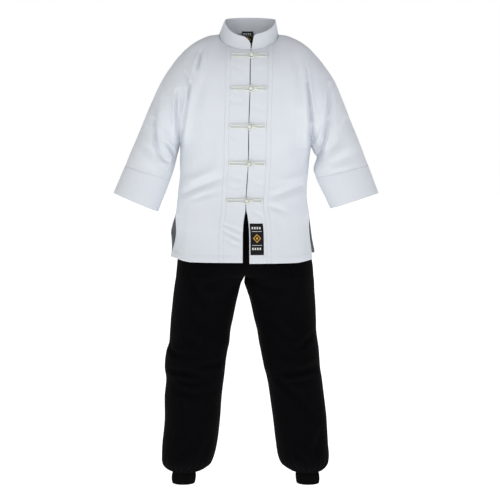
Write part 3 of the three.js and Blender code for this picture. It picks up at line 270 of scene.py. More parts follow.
# Creases by piece and face, as soft troughs with a ridge beside each: x and z of three places in
# turn, then depth and width. A negative depth is a raised fold, and those of an armhole run on over
# its seam.
CREASES = {
    ("armhole_right", "front"): [
        (-199, -330, -195, -250, -191, -180, 12, 11),
        (-166, -146, -174, -190, -186, -250, -199, -322, 9, 4.5),
        (-209, -170, -208, -236, -202, -318, 10, 5.5),
        (-182, -116, -169, -155, -172, -190, 7, 6),
    ],
    ("armhole_left", "front"): [
        (168, -92, 172, -128, 173, -160, 7, 5),
        (172, -146, 179, -200, 183, -252, 15, 6),
        (183, -232, 185, -290, 189, -330, 12, 7),
        (188, -284, 198, -326, 208, -364, 15, 13),
    ],
    ("jacket_front_right", "front"): [
        (-137, -52, -141, -76, -148, -104, 9, 4.5),
        (-122, -40, -128, -84, -142, -140, -2.4, 8),
        (-150, -60, -158, -105, -170, -150, -3, 13),
        (-108, -30, -116, -80, -128, -140, -2.6, 14),
        (-202, -474, -150, -450, -72, -421, 5.5, 13),
        (-166, -487, -118, -470, -76, -457, 3, 9),
        (-190, -430, -150, -422, -96, -402, -2.6, 15),
        (-96, -330, -88, -400, -78, -440, -2.2, 13),
        (-128, -128, -140, -180, -160, -232, 3, 15),
        (-178, -200, -160, -262, -150, -320, 2.4, 17),
        (-76, -556, -48, -566, -22, -579, 2.8, 4.5),
        (-72, -574, -46, -591, -20, -602, 3.4, 4.5),
        (-66, -598, -44, -614, -22, -620, 2, 5),
        (-58, -92, -34, -104, -10, -118, 0.8, 7),
        (-60, -196, -32, -204, -8, -200, 0.7, 7),
        (-54, -300, -30, -309, -10, -322, 0.8, 7),
        (-58, -410, -36, -424, -10, -430, 1.1, 6),
        (-62, -440, -40, -452, -18, -448, 1, 6),
        (-130, -520, -118, -580, -112, -650, 1.8, 18),
        (-176, -530, -180, -590, -186, -655, -1.8, 15),
    ],
    ("jacket_front_left", "front"): [
        (68, -477, 112, -464, 168, -442, 4.6, 12),
        (60, -504, 84, -511, 114, -523, 2.6, 9),
        (84, -430, 120, -425, 166, -412, -2.2, 14),
        (143, -76, 149, -130, 153, -196, 3.4, 13),
        (122, -60, 128, -130, 124, -230, -2.2, 17),
        (150, -240, 140, -300, 132, -360, 2.2, 16),
        (96, -540, 104, -600, 108, -655, 1.6, 17),
        (150, -520, 154, -590, 158, -655, -1.6, 14),
        (12, -520, 30, -528, 46, -541, 1.8, 5),
        (14, -104, 34, -112, 56, -108, 0.6, 7),
        (10, -212, 30, -224, 52, -228, 0.7, 7),
        (8, -318, 28, -326, 50, -322, 0.6, 7),
        (6, -424, 26, -438, 48, -446, 1, 6),
    ],
    ("jacket_back", "back"): [
        (-192, -462, -130, -440, -52, -430, 6, 14),
        (-170, -492, -110, -478, -60, -474, 3, 11),
        (46, -438, 110, -446, 168, -470, 6, 14),
        (30, -470, 90, -484, 140, -500, 3, 11),
        (-152, -110, -136, -200, -116, -296, 5, 16),
        (-172, -150, -170, -230, -150, -310, -3, 15),
        (152, -110, 134, -200, 116, -286, 5, 16),
        (172, -150, 168, -230, 150, -300, -3, 15),
        (-60, -60, -40, -110, -14, -150, 2.2, 15),
        (66, -58, 44, -104, 20, -140, 2.2, 15),
        (-40, -520, -46, -590, -52, -655, 2.4, 18),
        (70, -520, 76, -600, 84, -655, -2.4, 18),
        (-120, -340, -70, -380, -20, -396, 2.4, 17),
        (110, -330, 66, -368, 20, -390, 2.4, 17),
    ],
    ("sleeve_right", "front"): [
        (-262, -146, -272, -196, -278, -258, 8, 9),
        (-278, -250, -271, -318, -252, -364, 11, 7),
        (-256, -356, -244, -370, -230, -378, 5, 6),
        (-292, -200, -292, -270, -274, -340, -3, 11),
        (-254, -210, -252, -280, -238, -340, -3.4, 12),
        (-238, -322, -216, -358, -219, -404, 9, 6),
        (-300, -330, -270, -352, -244, -372, 2.4, 14),
        (-322, -330, -300, -366, -270, -392, -1.8, 14),
    ],
    ("sleeve_right", "back"): [
        (-262, -170, -256, -270, -222, -350, 9, 15),
        (-300, -280, -270, -330, -236, -370, 6, 14),
        (-230, -120, -222, -220, -214, -300, 6, 15),
        (-290, -220, -292, -290, -270, -350, -3, 14),
    ],
    ("sleeve_left", "front"): [
        (240, -150, 240, -210, 233, -262, 11, 8),
        (234, -254, 222, -310, 204, -362, 14, 8),
        (256, -196, 250, -262, 228, -330, -3.6, 10),
        (288, -250, 270, -306, 240, -346, 6, 10),
        (214, -150, 214, -210, 206, -270, -3, 11),
        (234, -380, 280, -366, 333, -345, 2.6, 13),
        (300, -290, 292, -330, 262, -362, -2.2, 12),
        (240, -398, 270, -394, 300, -384, -1.6, 9),
    ],
    ("sleeve_left", "back"): [
        (262, -180, 246, -270, 214, -352, 9, 15),
        (300, -296, 266, -340, 232, -374, 6, 14),
        (222, -120, 216, -220, 206, -300, 6, 15),
        (286, -220, 282, -290, 262, -350, -3, 14),
    ],
    ("trouser_front_right", "front"): [
        (-236, -994, -190, -1000, -124, -1014, 8, 11),
        (-206, -1022, -170, -1031, -128, -1029, 6, 9),
        (-150, -982, -112, -976, -76, -972, 4.5, 9),
        (-230, -924, -236, -934, -206, -948, 6, 9),
        (-220, -962, -180, -966, -140, -962, -3.6, 12),
        (-170, -716, -146, -760, -118, -800, 4.5, 14),
        (-70, -716, -104, -732, -146, -744, 4, 12),
        (-38, -740, -76, -780, -96, -840, 4, 14),
        (-188, -890, -164, -906, -136, -920, 4, 13),
        (-162, -808, -142, -840, -116, -872, 3.2, 14),
        (-214, -1056, -160, -1066, -110, -1056, 3.6, 12),
        (-190, -1090, -176, -1150, -190, -1210, 3.4, 16),
        (-140, -1110, -150, -1190, -168, -1250, 3.6, 14),
        (-170, -1196, -190, -1236, -212, -1272, 4.5, 11),
        (-118, -1210, -134, -1250, -150, -1284, 3.6, 11),
    ],
    ("trouser_front_left", "front"): [
        (88, -1002, 150, -998, 212, -984, 8, 11),
        (80, -1008, 116, -1044, 158, -1084, 6.5, 11),
        (158, -1084, 184, -1118, 212, -1150, 5.5, 12),
        (112, -1034, 150, -1028, 194, -1019, 4.5, 9),
        (196, -884, 146, -930, 174, -974, 5, 11),
        (70, -842, 100, -872, 134, -900, 4.5, 13),
        (150, -960, 120, -966, 84, -962, -3.6, 12),
        (16, -726, 56, -742, 104, -748, 4, 13),
        (24, -760, 56, -800, 70, -850, 3.6, 14),
        (150, -720, 132, -770, 124, -830, 3.6, 15),
        (120, -1100, 138, -1170, 150, -1230, 3.4, 15),
        (150, -1240, 164, -1262, 176, -1284, 4.5, 10),
        (216, -1180, 206, -1230, 196, -1276, 3.6, 12),
    ],
    ("trouser_back_right", "back"): [
        (-228, -982, -170, -996, -106, -1012, 8, 12),
        (-214, -1042, -160, -1036, -116, -1026, 6, 11),
        (-52, -742, -110, -760, -166, -792, 6, 15),
        (-60, -800, -110, -830, -150, -840, 4, 14),
        (-200, -950, -160, -960, -110, -956, -4, 13),
        (-190, -1100, -170, -1170, -180, -1240, 4, 15),
        (-130, -1080, -150, -1160, -160, -1250, 4, 14),
        (-150, -650, -130, -720, -136, -800, 3.4, 18),
    ],
    ("trouser_back_left", "back"): [
        (78, -1006, 140, -994, 202, -984, 8, 12),
        (88, -1030, 140, -1044, 192, -1060, 6, 11),
        (30, -744, 86, -760, 144, -794, 6, 15),
        (40, -800, 90, -828, 130, -838, 4, 14),
        (180, -950, 130, -960, 84, -956, -4, 13),
        (180, -1100, 160, -1170, 170, -1240, 4, 15),
        (110, -1080, 130, -1160, 140, -1250, 4, 14),
        (130, -650, 112, -720, 118, -800, 3.4, 18),
    ],
}
RIDGE = 0.35                  # height of the ridge beside a trough, as a share of its depth
RIDGE_PLACE = 1.75            # where the ridge is, in widths of the trough
SHARPNESS = 0.4               # how much of a trough comes from the sharp line along its bottom
SHARP_WIDTH = 0.4             # width of that line, in widths of the trough
CREASE_END = 0.25             # depth at the ends of a crease, as a share of its depth
CREASE_WIDTHS = (0.75, 1.25)  # width at its start and its end, as shares of its width


def smooth(rows, key, column):
    """A smooth curve through the rows: the value of one column at any value of another."""
    points = sorted((row[key], row[column]) for row in rows)
    places = [point[0] for point in points]
    values = [point[1] for point in points]
    last = len(points) - 1

    def slope(i):
        low, high = max(i - 1, 0), min(i + 1, last)
        return (values[high] - values[low]) / (places[high] - places[low])

    slopes = [slope(i) for i in range(last + 1)]

    def value(at):
        t = min(max(at, places[0]), places[last])
        i = min(max(bisect.bisect_right(places, t) - 1, 0), last - 1)
        span = places[i + 1] - places[i]
        s = (t - places[i]) / span
        rise = (3 - 2 * s) * s * s
        start_pull = slopes[i] * span * s * (1 - s) * (1 - s)
        end_pull = slopes[i + 1] * span * s * s * (s - 1)
        return values[i] + (values[i + 1] - values[i]) * rise + start_pull + end_pull

    return value


def curves(rows, key):
    """Smooth curves for every column of a table, by name."""
    return {name: smooth(rows, key, name) for name in rows[0]}


def lerp(a, b, share):
    return a + (b - a) * share


def smoothstep(low, high, value):
    t = np.clip((value - low) / (high - low), 0, 1)
    return t * t * (3 - 2 * t)


def unit(vectors):
    return vectors / np.maximum(np.linalg.norm(vectors, axis=-1, keepdims=True), 1e-9)


def bulge(share, power):
    """Half of a rounded section: the depth at a share of the half width, for a full depth of 1."""
    return max(0.0, 1 - min(1.0, abs(share)) ** power) ** (1 / power)


shoulder_z = smooth(SHOULDER, "x", "z")
shoulder_x = smooth(SHOULDER, "z", "x")
body = curves(BODY, "z")
side_seam = curves(SIDE_SEAM, "z")
opening = curves(OPENING, "z")
vent_edges = {name: curves(rows, "z") for name, rows in VENT_EDGES.items()}
seat = curves(SEAT, "z")
legs = curves(LEGS, "z")
ankle = curves(ANKLE_CUFF, "z")
sleeves = {
    side: curves([dict(row, index=index) for index, row in enumerate(rows)], "index")
    for side, rows in SLEEVES.items()
}


def panel_edge(face, side, z):
    """The outer edge of a jacket panel at a level: its x, and its distance from y = 0."""
    armpit_x, armpit_z = ARMPIT[side]
    if z >= SHOULDER_POINT[1]:
        return SIDES[side] * shoulder_x(z), 0
    if z > armpit_z:
        share = (SHOULDER_POINT[1] - z) / (SHOULDER_POINT[1] - armpit_z)
        inset = ARMHOLE_DEPTH[face] * math.sqrt(max(0, 1 - (2 * share - 1) ** 2))
        return lerp(SIDES[side] * SHOULDER_POINT[0], armpit_x, share), inset
    if z >= VENT_TOP:
        return side_seam[side](z), 0
    edge = vent_edges[f"{face}_{side}"]
    return edge["x"](z), edge["inset"](z)


def panel_section(face, side, z):
    """Middle, depth, half width, reach and edge of a level section through one side of a panel."""
    edge_x, inset = panel_edge(face, side, z)
    middle = body["middle"](z)
    depth = body[face](z)
    reach = bulge(inset / depth, ROUNDNESS)
    return middle, depth, abs(edge_x - middle) / reach, reach, edge_x


def panel_point(face, x, z):
    """A point of the front or back of the jacket at x and z."""
    side = "right" if x < body["middle"](z) else "left"
    middle, depth, half_width, _, _ = panel_section(face, side, z)
    return np.array((x, FACES[face] * depth * bulge((x - middle) / half_width, ROUNDNESS), z))


def neckline(angle):
    """The neckline, by the angle from the centre front round the wearer's left."""
    forward = math.cos(angle)
    x = NECK_MIDDLE + NECK_HALF_WIDTH * math.sin(angle)
    if forward > 0:
        return np.array((x, -NECK_FRONT * forward, -NECK_DROP * forward))
    return np.array((x, -NECK_BACK * forward, -NECK_RISE * forward))


def neck_angle(x):
    return math.asin(min(max((x - NECK_MIDDLE) / NECK_HALF_WIDTH, -1), 1))


def top_point(face, side, x):
    """Top point of a column, on the neckline or the shoulder seam."""
    neck_x = NECK_MIDDLE + SIDES[side] * NECK_HALF_WIDTH
    if SIDES[side] * (x - neck_x) <= 0:
        angle = neck_angle(x)
        return neckline(angle if face == "front" else math.pi - angle)
    return np.array((x, 0.0, shoulder_z(abs(x))))


NECK_STEPS = {"front": 2, "back": 4}
SHOULDER_STEPS = 6
COLUMN_COUNT = {"front": 62, "back": 76}
EDGE_COLUMN = 0.9955          # place of the column beside the edge
YOKE_SHARES = np.linspace(0, 1, 37)[:-1]
YOKE_COUNT = len(YOKE_SHARES)
YOKE_PULL = 0.55              # how far the cloth leaves a shoulder straight
NEARBY = 4                    # step between the points that give a surface's direction
EDGE_ROLL = 0.9               # distance from an edge of the row that rounds it off
# Numbers of levels down to the armpit, the vents, the top of the patch and its bottom
LEVELS = {"armpit": 52, "vent": 64, "patch_top": 7, "patch": 22}
NEAR_ARMPIT = 42              # the levels are close together from this far above the armpit
ABOVE_ARMPIT = (36, 30, 24, 19, 14, 10, 6.5, 4, 2, 0.8, 0)
ABOVE_HEM = (15, 11, 7, 3.5, EDGE_ROLL, 0)
HEM_TOP = HEM + HEM_TURN
TURN_ROWS = 0.8               # the rows on each side of the top of the turned hem
TURN_CLEARANCE = 2.5
# Height of the neckline above or below its sides where the cloth beside it is steepest
STEEPEST = {"front": NECK_DROP, "back": 4 * NECK_RISE}
YOKE_EASE = 1.8               # power that brings the yoke's rows closer at the shoulder seam


def steps_of(face):
    """Places of the columns beyond the fixed ones, in the steps of the yoke, close at the edge."""
    total = NECK_STEPS[face] + SHOULDER_STEPS
    inner = np.linspace(0, total, COLUMN_COUNT[face] + 1)[1:-1]
    return [*inner, total * EDGE_COLUMN, total]


def levels_of(side):
    """Levels of the rows below the yoke on one side, close together at the armpit and the hem."""
    armpit = ARMPIT[side][1]
    to_armpit = np.linspace(YOKE_Z, armpit + NEAR_ARMPIT, LEVELS["armpit"])
    at_armpit = [armpit + step for step in ABOVE_ARMPIT]
    to_vent = np.linspace(armpit, VENT_TOP, LEVELS["vent"])[1:]
    to_patch = np.linspace(VENT_TOP, PATCH["top"], LEVELS["patch_top"])[1:]
    on_patch = np.linspace(PATCH["top"], PATCH["bottom"], LEVELS["patch"])[1:]
    on_patch = [z for z in on_patch if abs(z - HEM_TOP) > TURN_CLEARANCE]
    at_hem = [HEM_TOP + TURN_ROWS, HEM_TOP - TURN_ROWS, *(HEM + step for step in ABOVE_HEM)]
    levels = [*to_armpit, *at_armpit, *to_vent, *to_patch, *on_patch, *at_hem]
    return sorted(set(float(z) for z in levels), reverse=True)


def row_levels(side):
    """Level of every row of a panel; those of the yoke, which aren't level, count as 0."""
    return np.array([0.0] * YOKE_COUNT + levels_of(side))


def hem_lift(face, x):
    """How far the hem is raised at x; the back hem lifts towards the wearer's left."""
    if face == "back":
        return BACK_HEM["lift"] * float(smoothstep(BACK_HEM["from"], BACK_HEM["to"], x))
    hem = FRONT_HEM["right" if x < 0 else "left"]
    return hem["lift"] * float(smoothstep(hem["from"], hem["to"], abs(x))) - hem["drop"]


def yoke_point(face, top, bottom, flatness, share):
    """A place on the curve from the top of a column, which leaves it flat, down to the yoke."""
    ahead = np.array((bottom[0] - top[0], bottom[1] - top[1], 0))
    start = top + YOKE_PULL * ahead
    slope = lerp(YOKE_SLOPE_NECK, YOKE_SLOPE_SHOULDER, flatness)
    start[2] -= YOKE_PULL * np.linalg.norm(ahead) * math.tan(slope)
    above = panel_point(face, bottom[0], bottom[2] + NEARBY)
    below = panel_point(face, bottom[0], bottom[2] - NEARBY)
    rise = 0.5 * (top[2] - bottom[2])
    end = bottom + (above - below) * rise / (2 * NEARBY)
    rest = 1 - share
    weights = (rest ** 3, 3 * rest * rest * share, 3 * rest * share * share, share ** 3)
    return sum(weight * point for weight, point in zip(weights, (top, start, end, bottom)))


def yoke_rows(face, tops, yoke, steps):
    """Rows from the neckline and shoulder down to the level rows below the yoke."""
    neck_steps = NECK_STEPS[face]
    last = neck_steps + SHOULDER_STEPS
    rows = []
    for share in YOKE_SHARES:
        row = []
        for top, bottom, step in zip(tops, yoke, steps):
            outward = float(smoothstep(neck_steps, last, step))
            flatness = 1 - abs(top[2]) / STEEPEST[face] if step < neck_steps else 1
            curved = yoke_point(face, top, bottom, flatness, share)
            if outward > 0 and share > 0:
                way = lerp(top, bottom, share ** YOKE_EASE)
                curved = lerp(curved, panel_point(face, way[0], way[2]), outward)
            row.append(curved)
        rows.append(row)
    return rows


def panel_grid(face, side, offsets, start):
    """Grid of half a front or back panel, from its fixed columns or the centre outwards."""
    sign = SIDES[side]
    neck_steps = NECK_STEPS[face]
    total = neck_steps + SHOULDER_STEPS
    steps = steps_of(face)

    def columns_at(z):
        fixed = [start(z) + sign * offset for offset in offsets]
        middle, _, half_width, reach, edge_x = panel_section(face, side, z)
        first = math.asin(min(1, abs(fixed[-1] - middle) / half_width))
        spread = [middle + sign * half_width * math.sin(lerp(first, math.asin(reach), step / total))
                  for step in steps[:-1]]
        return [*fixed, *spread, edge_x]

    def top_x(step, first_x):
        if step <= neck_steps:
            angle = lerp(neck_angle(first_x), sign * math.pi / 2, step / neck_steps)
            return NECK_MIDDLE + NECK_HALF_WIDTH * math.sin(angle)
        neck_x = NECK_MIDDLE + sign * NECK_HALF_WIDTH
        return lerp(neck_x, sign * SHOULDER_POINT[0], (step - neck_steps) / SHOULDER_STEPS)

    fixed_tops = [start(-NECK_DROP) + sign * offset for offset in offsets]
    all_tops = fixed_tops + [top_x(step, fixed_tops[-1]) for step in steps]
    tops = [top_point(face, side, x) for x in all_tops]
    yoke = [panel_point(face, x, YOKE_Z) for x in columns_at(YOKE_Z)]
    all_steps = [0] * len(offsets) + steps
    rows = yoke_rows(face, tops, yoke, all_steps)
    for z in levels_of(side):
        row = []
        for x in columns_at(z):
            lift = hem_lift(face, x) * float(smoothstep(LIFT_TOP, HEM, z))
            point = panel_point(face, x, z)
            point[2] += lift
            row.append(point)
        rows.append(row)
    return np.array(rows)


def outward_normals(grid, closed, inside):
    """Unit normals of a grid that point away from inside; columns wrap round where it is closed."""
    if closed:
        across = np.roll(grid, -1, axis=1) - np.roll(grid, 1, axis=1)
    else:
        across = np.gradient(grid, axis=1)
    normals = unit(np.cross(across, np.gradient(grid, axis=0)))
    away = np.sum(normals * (grid - np.asarray(inside, float)))
    return normals * (1 if away > 0 else -1)


def flatten_into(normals, where, plane):
    """Turn the normals at a seam into the seam's plane."""
    plane = np.asarray(plane, float) / np.linalg.norm(plane)
    chosen = normals[where]
    normals[where] = unit(chosen - np.sum(chosen * plane, axis=-1, keepdims=True) * plane)


def one_crease(flat, places, deep, width):
    """How deep one crease is at each point of the front view."""
    path = np.array(places, float).reshape(-1, 2)
    lengths = np.linalg.norm(np.diff(path, axis=0), axis=1)
    best = np.full(flat.shape[:-1], 1e9)
    along = np.zeros(flat.shape[:-1])
    walked = 0.0
    for start, end, length in zip(path[:-1], path[1:], lengths):
        run = (end - start) / length
        share = np.clip((flat - start) @ run, 0, length)
        distance = np.linalg.norm(flat - start - share[..., None] * run, axis=-1)
        nearer = distance < best
        best = np.where(nearer, distance, best)
        along = np.where(nearer, walked + share, along)
        walked += length
    t = along / lengths.sum()
    fade = lerp(CREASE_END, 1, np.sin(np.pi * np.clip(t, 0, 1)) ** 0.7)
    wide = width * lerp(*CREASE_WIDTHS, t)
    soft, sharp = np.exp(-(best / wide) ** 2), np.exp(-best / (SHARP_WIDTH * wide))
    trough = (1 - SHARPNESS) * soft + SHARPNESS * sharp
    ridge = np.exp(-((best - RIDGE_PLACE * wide) / wide) ** 2)
    return deep * fade * (trough - RIDGE * ridge)


def crease_depth(name, points):
    """How deep the creases of a piece are at each point."""
    depth = np.zeros(points.shape[:-1])
    for face, sign in FACES.items():
        on_face = np.sign(points[..., 1]) == sign
        for *places, deep, width in CREASES.get((name, face), ()):
            depth += np.where(on_face, one_crease(points[..., (0, 2)], places, deep, width), 0)
    return depth


def rumple(points, size, seed):
    """Smooth noise over the cloth, about -1 to 1, with swells of the given size."""
    flat = points.reshape(-1, 3) / size + seed
    values = [noise.noise(Vector(point)) for point in flat]
    return np.array(values).reshape(points.shape[:-1])


EDGES = {"top": np.s_[:1], "bottom": np.s_[-1:], "start": np.s_[:, :1], "end": np.s_[:, -1:]}


def border_distance(grid, borders):
    """Distance of each point from the nearest of the named borders of its grid."""
    return np.min([np.linalg.norm(grid - grid[EDGES[name]], axis=2) for name in borders], axis=0)


# Swells of the cloth: height, size and shift of each
SWELLS = [(1.5, 95, 0), (0.55, 34, 7), (0.16, 12, 3)]
ARMHOLES = {
    "jacket_front_right": "armhole_right", "sleeve_right": "armhole_right",
    "jacket_front_left": "armhole_left", "sleeve_left": "armhole_left",
}
FACING_FADE = (0.1, 0.6)      # creases die out where the cloth turns to the side by this much
ARMHOLE_FADE = (15, 55)       # those over an armhole set in at these distances in front of its top


def seed_of(name, count):
    """A number below the count that differs from piece to piece."""
    return sum(map(ord, name)) % count


def press(grid, name, closed, inside, sewn, swell=1.0):
    """Press a piece's creases and the unevenness of its cloth into its grid."""
    normals = outward_normals(grid, closed, inside)
    stiff = np.clip(border_distance(grid, sewn) / STIFF_EDGE, 0, 1)
    depth = crease_depth(name, grid) * stiff * smoothstep(*FACING_FADE, np.abs(normals[..., 1]))
    seed = seed_of(name, 97)
    uneven = sum(height * rumple(grid, size, seed + more) for height, size, more in SWELLS)
    pressed = grid + normals * (swell * uneven * stiff - depth)[..., None]
    if name in ARMHOLES:
        over = crease_depth(ARMHOLES[name], grid) * smoothstep(*ARMHOLE_FADE, -grid[..., 1])
        pressed[..., 1] += over
    return pressed


def pucker(grid, normals, distance, seed, size=11, height=0.32, reach=9):
    """Small ripples that a line of stitches draws up in the cloth at a distance."""
    ripple = rumple(grid, size, seed) * height
    return grid + normals * (ripple * np.exp(-(distance / reach) ** 2))[..., None]


def new_object(name, vertices, faces, uvs, material):
    """A mesh object in metres from points in millimetres; uvs may be None."""
    mesh = bpy.data.meshes.new(name)
    mesh.from_pydata((np.asarray(vertices) * MM).tolist(), [], faces)
    mesh.polygons.foreach_set("use_smooth", [True] * len(mesh.polygons))
    if uvs is not None:
        layer = mesh.uv_layers.new(name="cloth")
        corners = np.zeros(len(mesh.loops), dtype=np.int32)
        mesh.loops.foreach_get("vertex_index", corners)
        layer.data.foreach_set("uv", np.asarray(uvs)[corners].ravel())
    mesh.materials.append(material)
    mesh.update()
    obj = bpy.data.objects.new(name, mesh)
    bpy.context.scene.collection.objects.link(obj)
    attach(obj, "root")
    return obj


def cloth_uv(grid):
    """Place of each point in the cloth, in metres across and down."""
    across = np.linalg.norm(np.diff(grid, axis=1), axis=2)
    u = np.concatenate([np.zeros((grid.shape[0], 1)), np.cumsum(across, axis=1)], axis=1)
    down = np.linalg.norm(np.diff(grid, axis=0), axis=2).mean(axis=1)
    v = np.concatenate([[0], np.cumsum(down)])[:, None] * np.ones_like(u)
    return np.stack([u, -v], axis=2) * MM


def shell(name, outer, inner, closed, material):
    """A closed wall from two grids of the same size, one outside the other."""
    rows, columns = outer.shape[:2]
    vertices = np.concatenate([outer.reshape(-1, 3), inner.reshape(-1, 3)])
    uv = cloth_uv(outer).reshape(-1, 2)
    uvs = np.concatenate([uv, uv])

    def quads_of(*corners):
        picks = [(layer * rows + j) * columns + (i % columns) for layer, j, i in corners]
        return np.stack(np.broadcast_arrays(*picks), axis=1)

    last = columns if closed else columns - 1
    j, i = np.meshgrid(np.arange(rows - 1), np.arange(last), indexing="ij")
    j, i = j.ravel(), i.ravel()
    out = quads_of((0, j, i), (0, j, i + 1), (0, j + 1, i + 1), (0, j + 1, i))
    back = quads_of((1, j, i), (1, j + 1, i), (1, j + 1, i + 1), (1, j, i + 1))
    edge, end = np.arange(last), rows - 1
    top = quads_of((0, 0, edge + 1), (0, 0, edge), (1, 0, edge), (1, 0, edge + 1))
    low = quads_of((0, end, edge), (0, end, edge + 1), (1, end, edge + 1), (1, end, edge))
    faces = [out, back, top, low]
    if not closed:
        j, end = np.arange(rows - 1), columns - 1
        faces.append(quads_of((0, j, 0), (0, j + 1, 0), (1, j + 1, 0), (1, j, 0)))
        faces.append(quads_of((0, j + 1, end), (0, j, end), (1, j, end), (1, j + 1, end)))
    faces = np.concatenate(faces)
    quads = vertices[out]
    face_normals = np.cross(quads[:, 2] - quads[:, 0], quads[:, 3] - quads[:, 1])
    away = (outer - inner)[:-1, :last].reshape(-1, 3)
    if np.sum(face_normals * away) < 0:
        faces = faces[:, ::-1]
    return new_object(name, vertices, faces.tolist(), uvs, material)


def declare_cloth(grid, closed):
    """Work out the smallest rectangle that a piece's cloth comes out of; the sizes are not kept."""
    if closed:
        grid = np.concatenate([grid, grid[:, :1]], axis=1)
    width = np.linalg.norm(np.diff(grid, axis=1), axis=2).sum(axis=1).max() * MM
    length = np.linalg.norm(np.diff(grid, axis=0), axis=2).sum(axis=0).max() * MM


def trim(name, outer, inner, material):
    """A flat piece that is sewn onto others, from its two faces."""
    obj = shell(name, outer, inner, False, material)
    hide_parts(name)
    declare_cloth(outer, False)


FREE_ROUNDING = 0.32          # how much an edge is rounded off, as a share of the thickness
SEWN_ROUNDING = 0.16


def cloth(name, grid, closed, inside, planes, thickness, material,
          free=(), sewn_edges=()):
    """Make a piece of cloth that replaces the solid of the same name.

    planes are the seams: which points, and the plane that their thickness stays in. The edges named
    in free and sewn_edges are rounded off.
    """
    normals = outward_normals(grid, closed, inside)
    for where, plane in planes:
        flatten_into(normals, where, plane)
    outer = grid.copy()
    thickness = np.broadcast_to(thickness, (*grid.shape[:2], 1))
    inner = grid - thickness * normals
    for edge in free:
        where = EDGES[edge]
        outer[where] -= FREE_ROUNDING * thickness[where] * normals[where]
        inner[where] += FREE_ROUNDING * thickness[where] * normals[where]
    for edge in sewn_edges:
        where = EDGES[edge]
        outer[where] -= SEWN_ROUNDING * thickness[where] * normals[where]
    obj = shell(name, outer, inner, closed, material)
    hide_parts(name)
    declare_cloth(grid, closed)
    return {"grid": grid, "normals": normals, "outer": outer, "inner": inner, "object": obj}


def node(tree, kind, **settings):
    """A shader node; settings are its properties, or the values of its inputs by name."""
    made = tree.nodes.new(kind)
    for name, value in settings.items():
        label = name.replace("_", " ").title()
        if label in made.inputs:
            made.inputs[label].default_value = value
        else:
            setattr(made, name, value)
    return made


def feed(tree, sockets, values):
    """Set each socket to its value, or link it to the output given in its place."""
    for socket, value in zip(sockets, values):
        if isinstance(value, bpy.types.NodeSocket):
            tree.links.new(value, socket)
        elif value is not None:
            socket.default_value = value


def math_node(tree, operation, a, b=None):
    made = node(tree, "ShaderNodeMath", operation=operation)
    feed(tree, made.inputs, (a, b))
    return made.outputs[0]


def times(tree, value, factor):
    return math_node(tree, "MULTIPLY", value, factor)


def plus(tree, a, b):
    return math_node(tree, "ADD", a, b)


def mix_colors(tree, factor, a, b):
    """A mix of two colours, each without its alpha."""
    made = node(tree, "ShaderNodeMix", data_type="RGBA")
    colors = [(*color, 1) if isinstance(color, tuple) else color for color in (a, b)]
    feed(tree, (made.inputs[0], made.inputs[6], made.inputs[7]), (factor, *colors))
    return made.outputs[2]


def shader_of(name, roughness, sheen, specular):
    """A new material with only its shader and output."""
    material = bpy.data.materials.new(name)
    material.use_nodes = True
    tree = material.node_tree
    tree.nodes.clear()
    output = tree.nodes.new("ShaderNodeOutputMaterial")
    shader = tree.nodes.new("ShaderNodeBsdfPrincipled")
    shader.inputs["Roughness"].default_value = roughness
    shader.inputs["Sheen Weight"].default_value = sheen
    shader.inputs["Sheen Roughness"].default_value = 0.5
    shader.inputs["Specular IOR Level"].default_value = specular
    tree.links.new(shader.outputs[0], output.inputs[0])
    return material, tree, shader


def cloth_coordinates(tree):
    return node(tree, "ShaderNodeUVMap", uv_map="cloth").outputs[0]


def object_coordinates(tree):
    return tree.nodes.new("ShaderNodeTexCoord").outputs["Object"]


def bands(tree, vector, period, direction, distortion):
    """Even stripes across the cloth, with the given period in metres."""
    wave = node(tree, "ShaderNodeTexWave", wave_type="BANDS", bands_direction=direction,
                scale=2 * math.pi / 20 / period, distortion=distortion, detail=1, detail_scale=2)
    tree.links.new(vector, wave.inputs["Vector"])
    return wave.outputs["Fac"]


def noise_value(tree, vector, scale, detail):
    made = node(tree, "ShaderNodeTexNoise", scale=scale, detail=detail)
    tree.links.new(vector, made.inputs["Vector"])
    return made.outputs["Fac"]


def finish(tree, shader, color, height, distance, strength):
    """Give a shader its colour, and a bump whose height is in metres."""
    tree.links.new(color, shader.inputs["Base Color"])
    bump = node(tree, "ShaderNodeBump", strength=strength, distance=distance)
    tree.links.new(height, bump.inputs["Height"])
    tree.links.new(bump.outputs[0], shader.inputs["Normal"])


def drill_material(name, light, dark, twill, roughness, sheen, specular):
    """Twill-woven drill: slanting ribs of yarn with painted shade in their grooves, slightly uneven
    colour and a soft nap.
    """
    material, tree, shader = shader_of(name, roughness, sheen, specular)
    cloth_place = cloth_coordinates(tree)
    rib = bands(tree, cloth_place, twill, "DIAGONAL", 0.6)
    yarn = bands(tree, cloth_place, twill * 0.7, "X", 0.8)
    blotch = noise_value(tree, object_coordinates(tree), 9, 3)
    fuzz = noise_value(tree, cloth_place, 1400, 2)
    # colour: painted shade in the twill's grooves from the rib bands, mixed with uneven tone from
    # the blotch noise
    rib_shade_and_mottle = plus(tree, times(tree, rib, 0.3), times(tree, blotch, 0.7))
    height = plus(tree, times(tree, rib, 0.65), times(tree, yarn, 0.2))
    height = plus(tree, height, times(tree, fuzz, 0.5))
    finish(tree, shader, mix_colors(tree, rib_shade_and_mottle, dark, light), height, 0.00022, 0.45)
    return material


def thread_material(name, color, sheen, specular):
    """Sewing thread: a light twist along a smooth strand."""
    material, tree, shader = shader_of(name, 0.55, sheen, specular)
    twist = noise_value(tree, object_coordinates(tree), 900, 1)
    tint = mix_colors(tree, twist, tuple(c * 0.9 for c in color), color)
    tree.links.new(tint, shader.inputs["Base Color"])
    return material


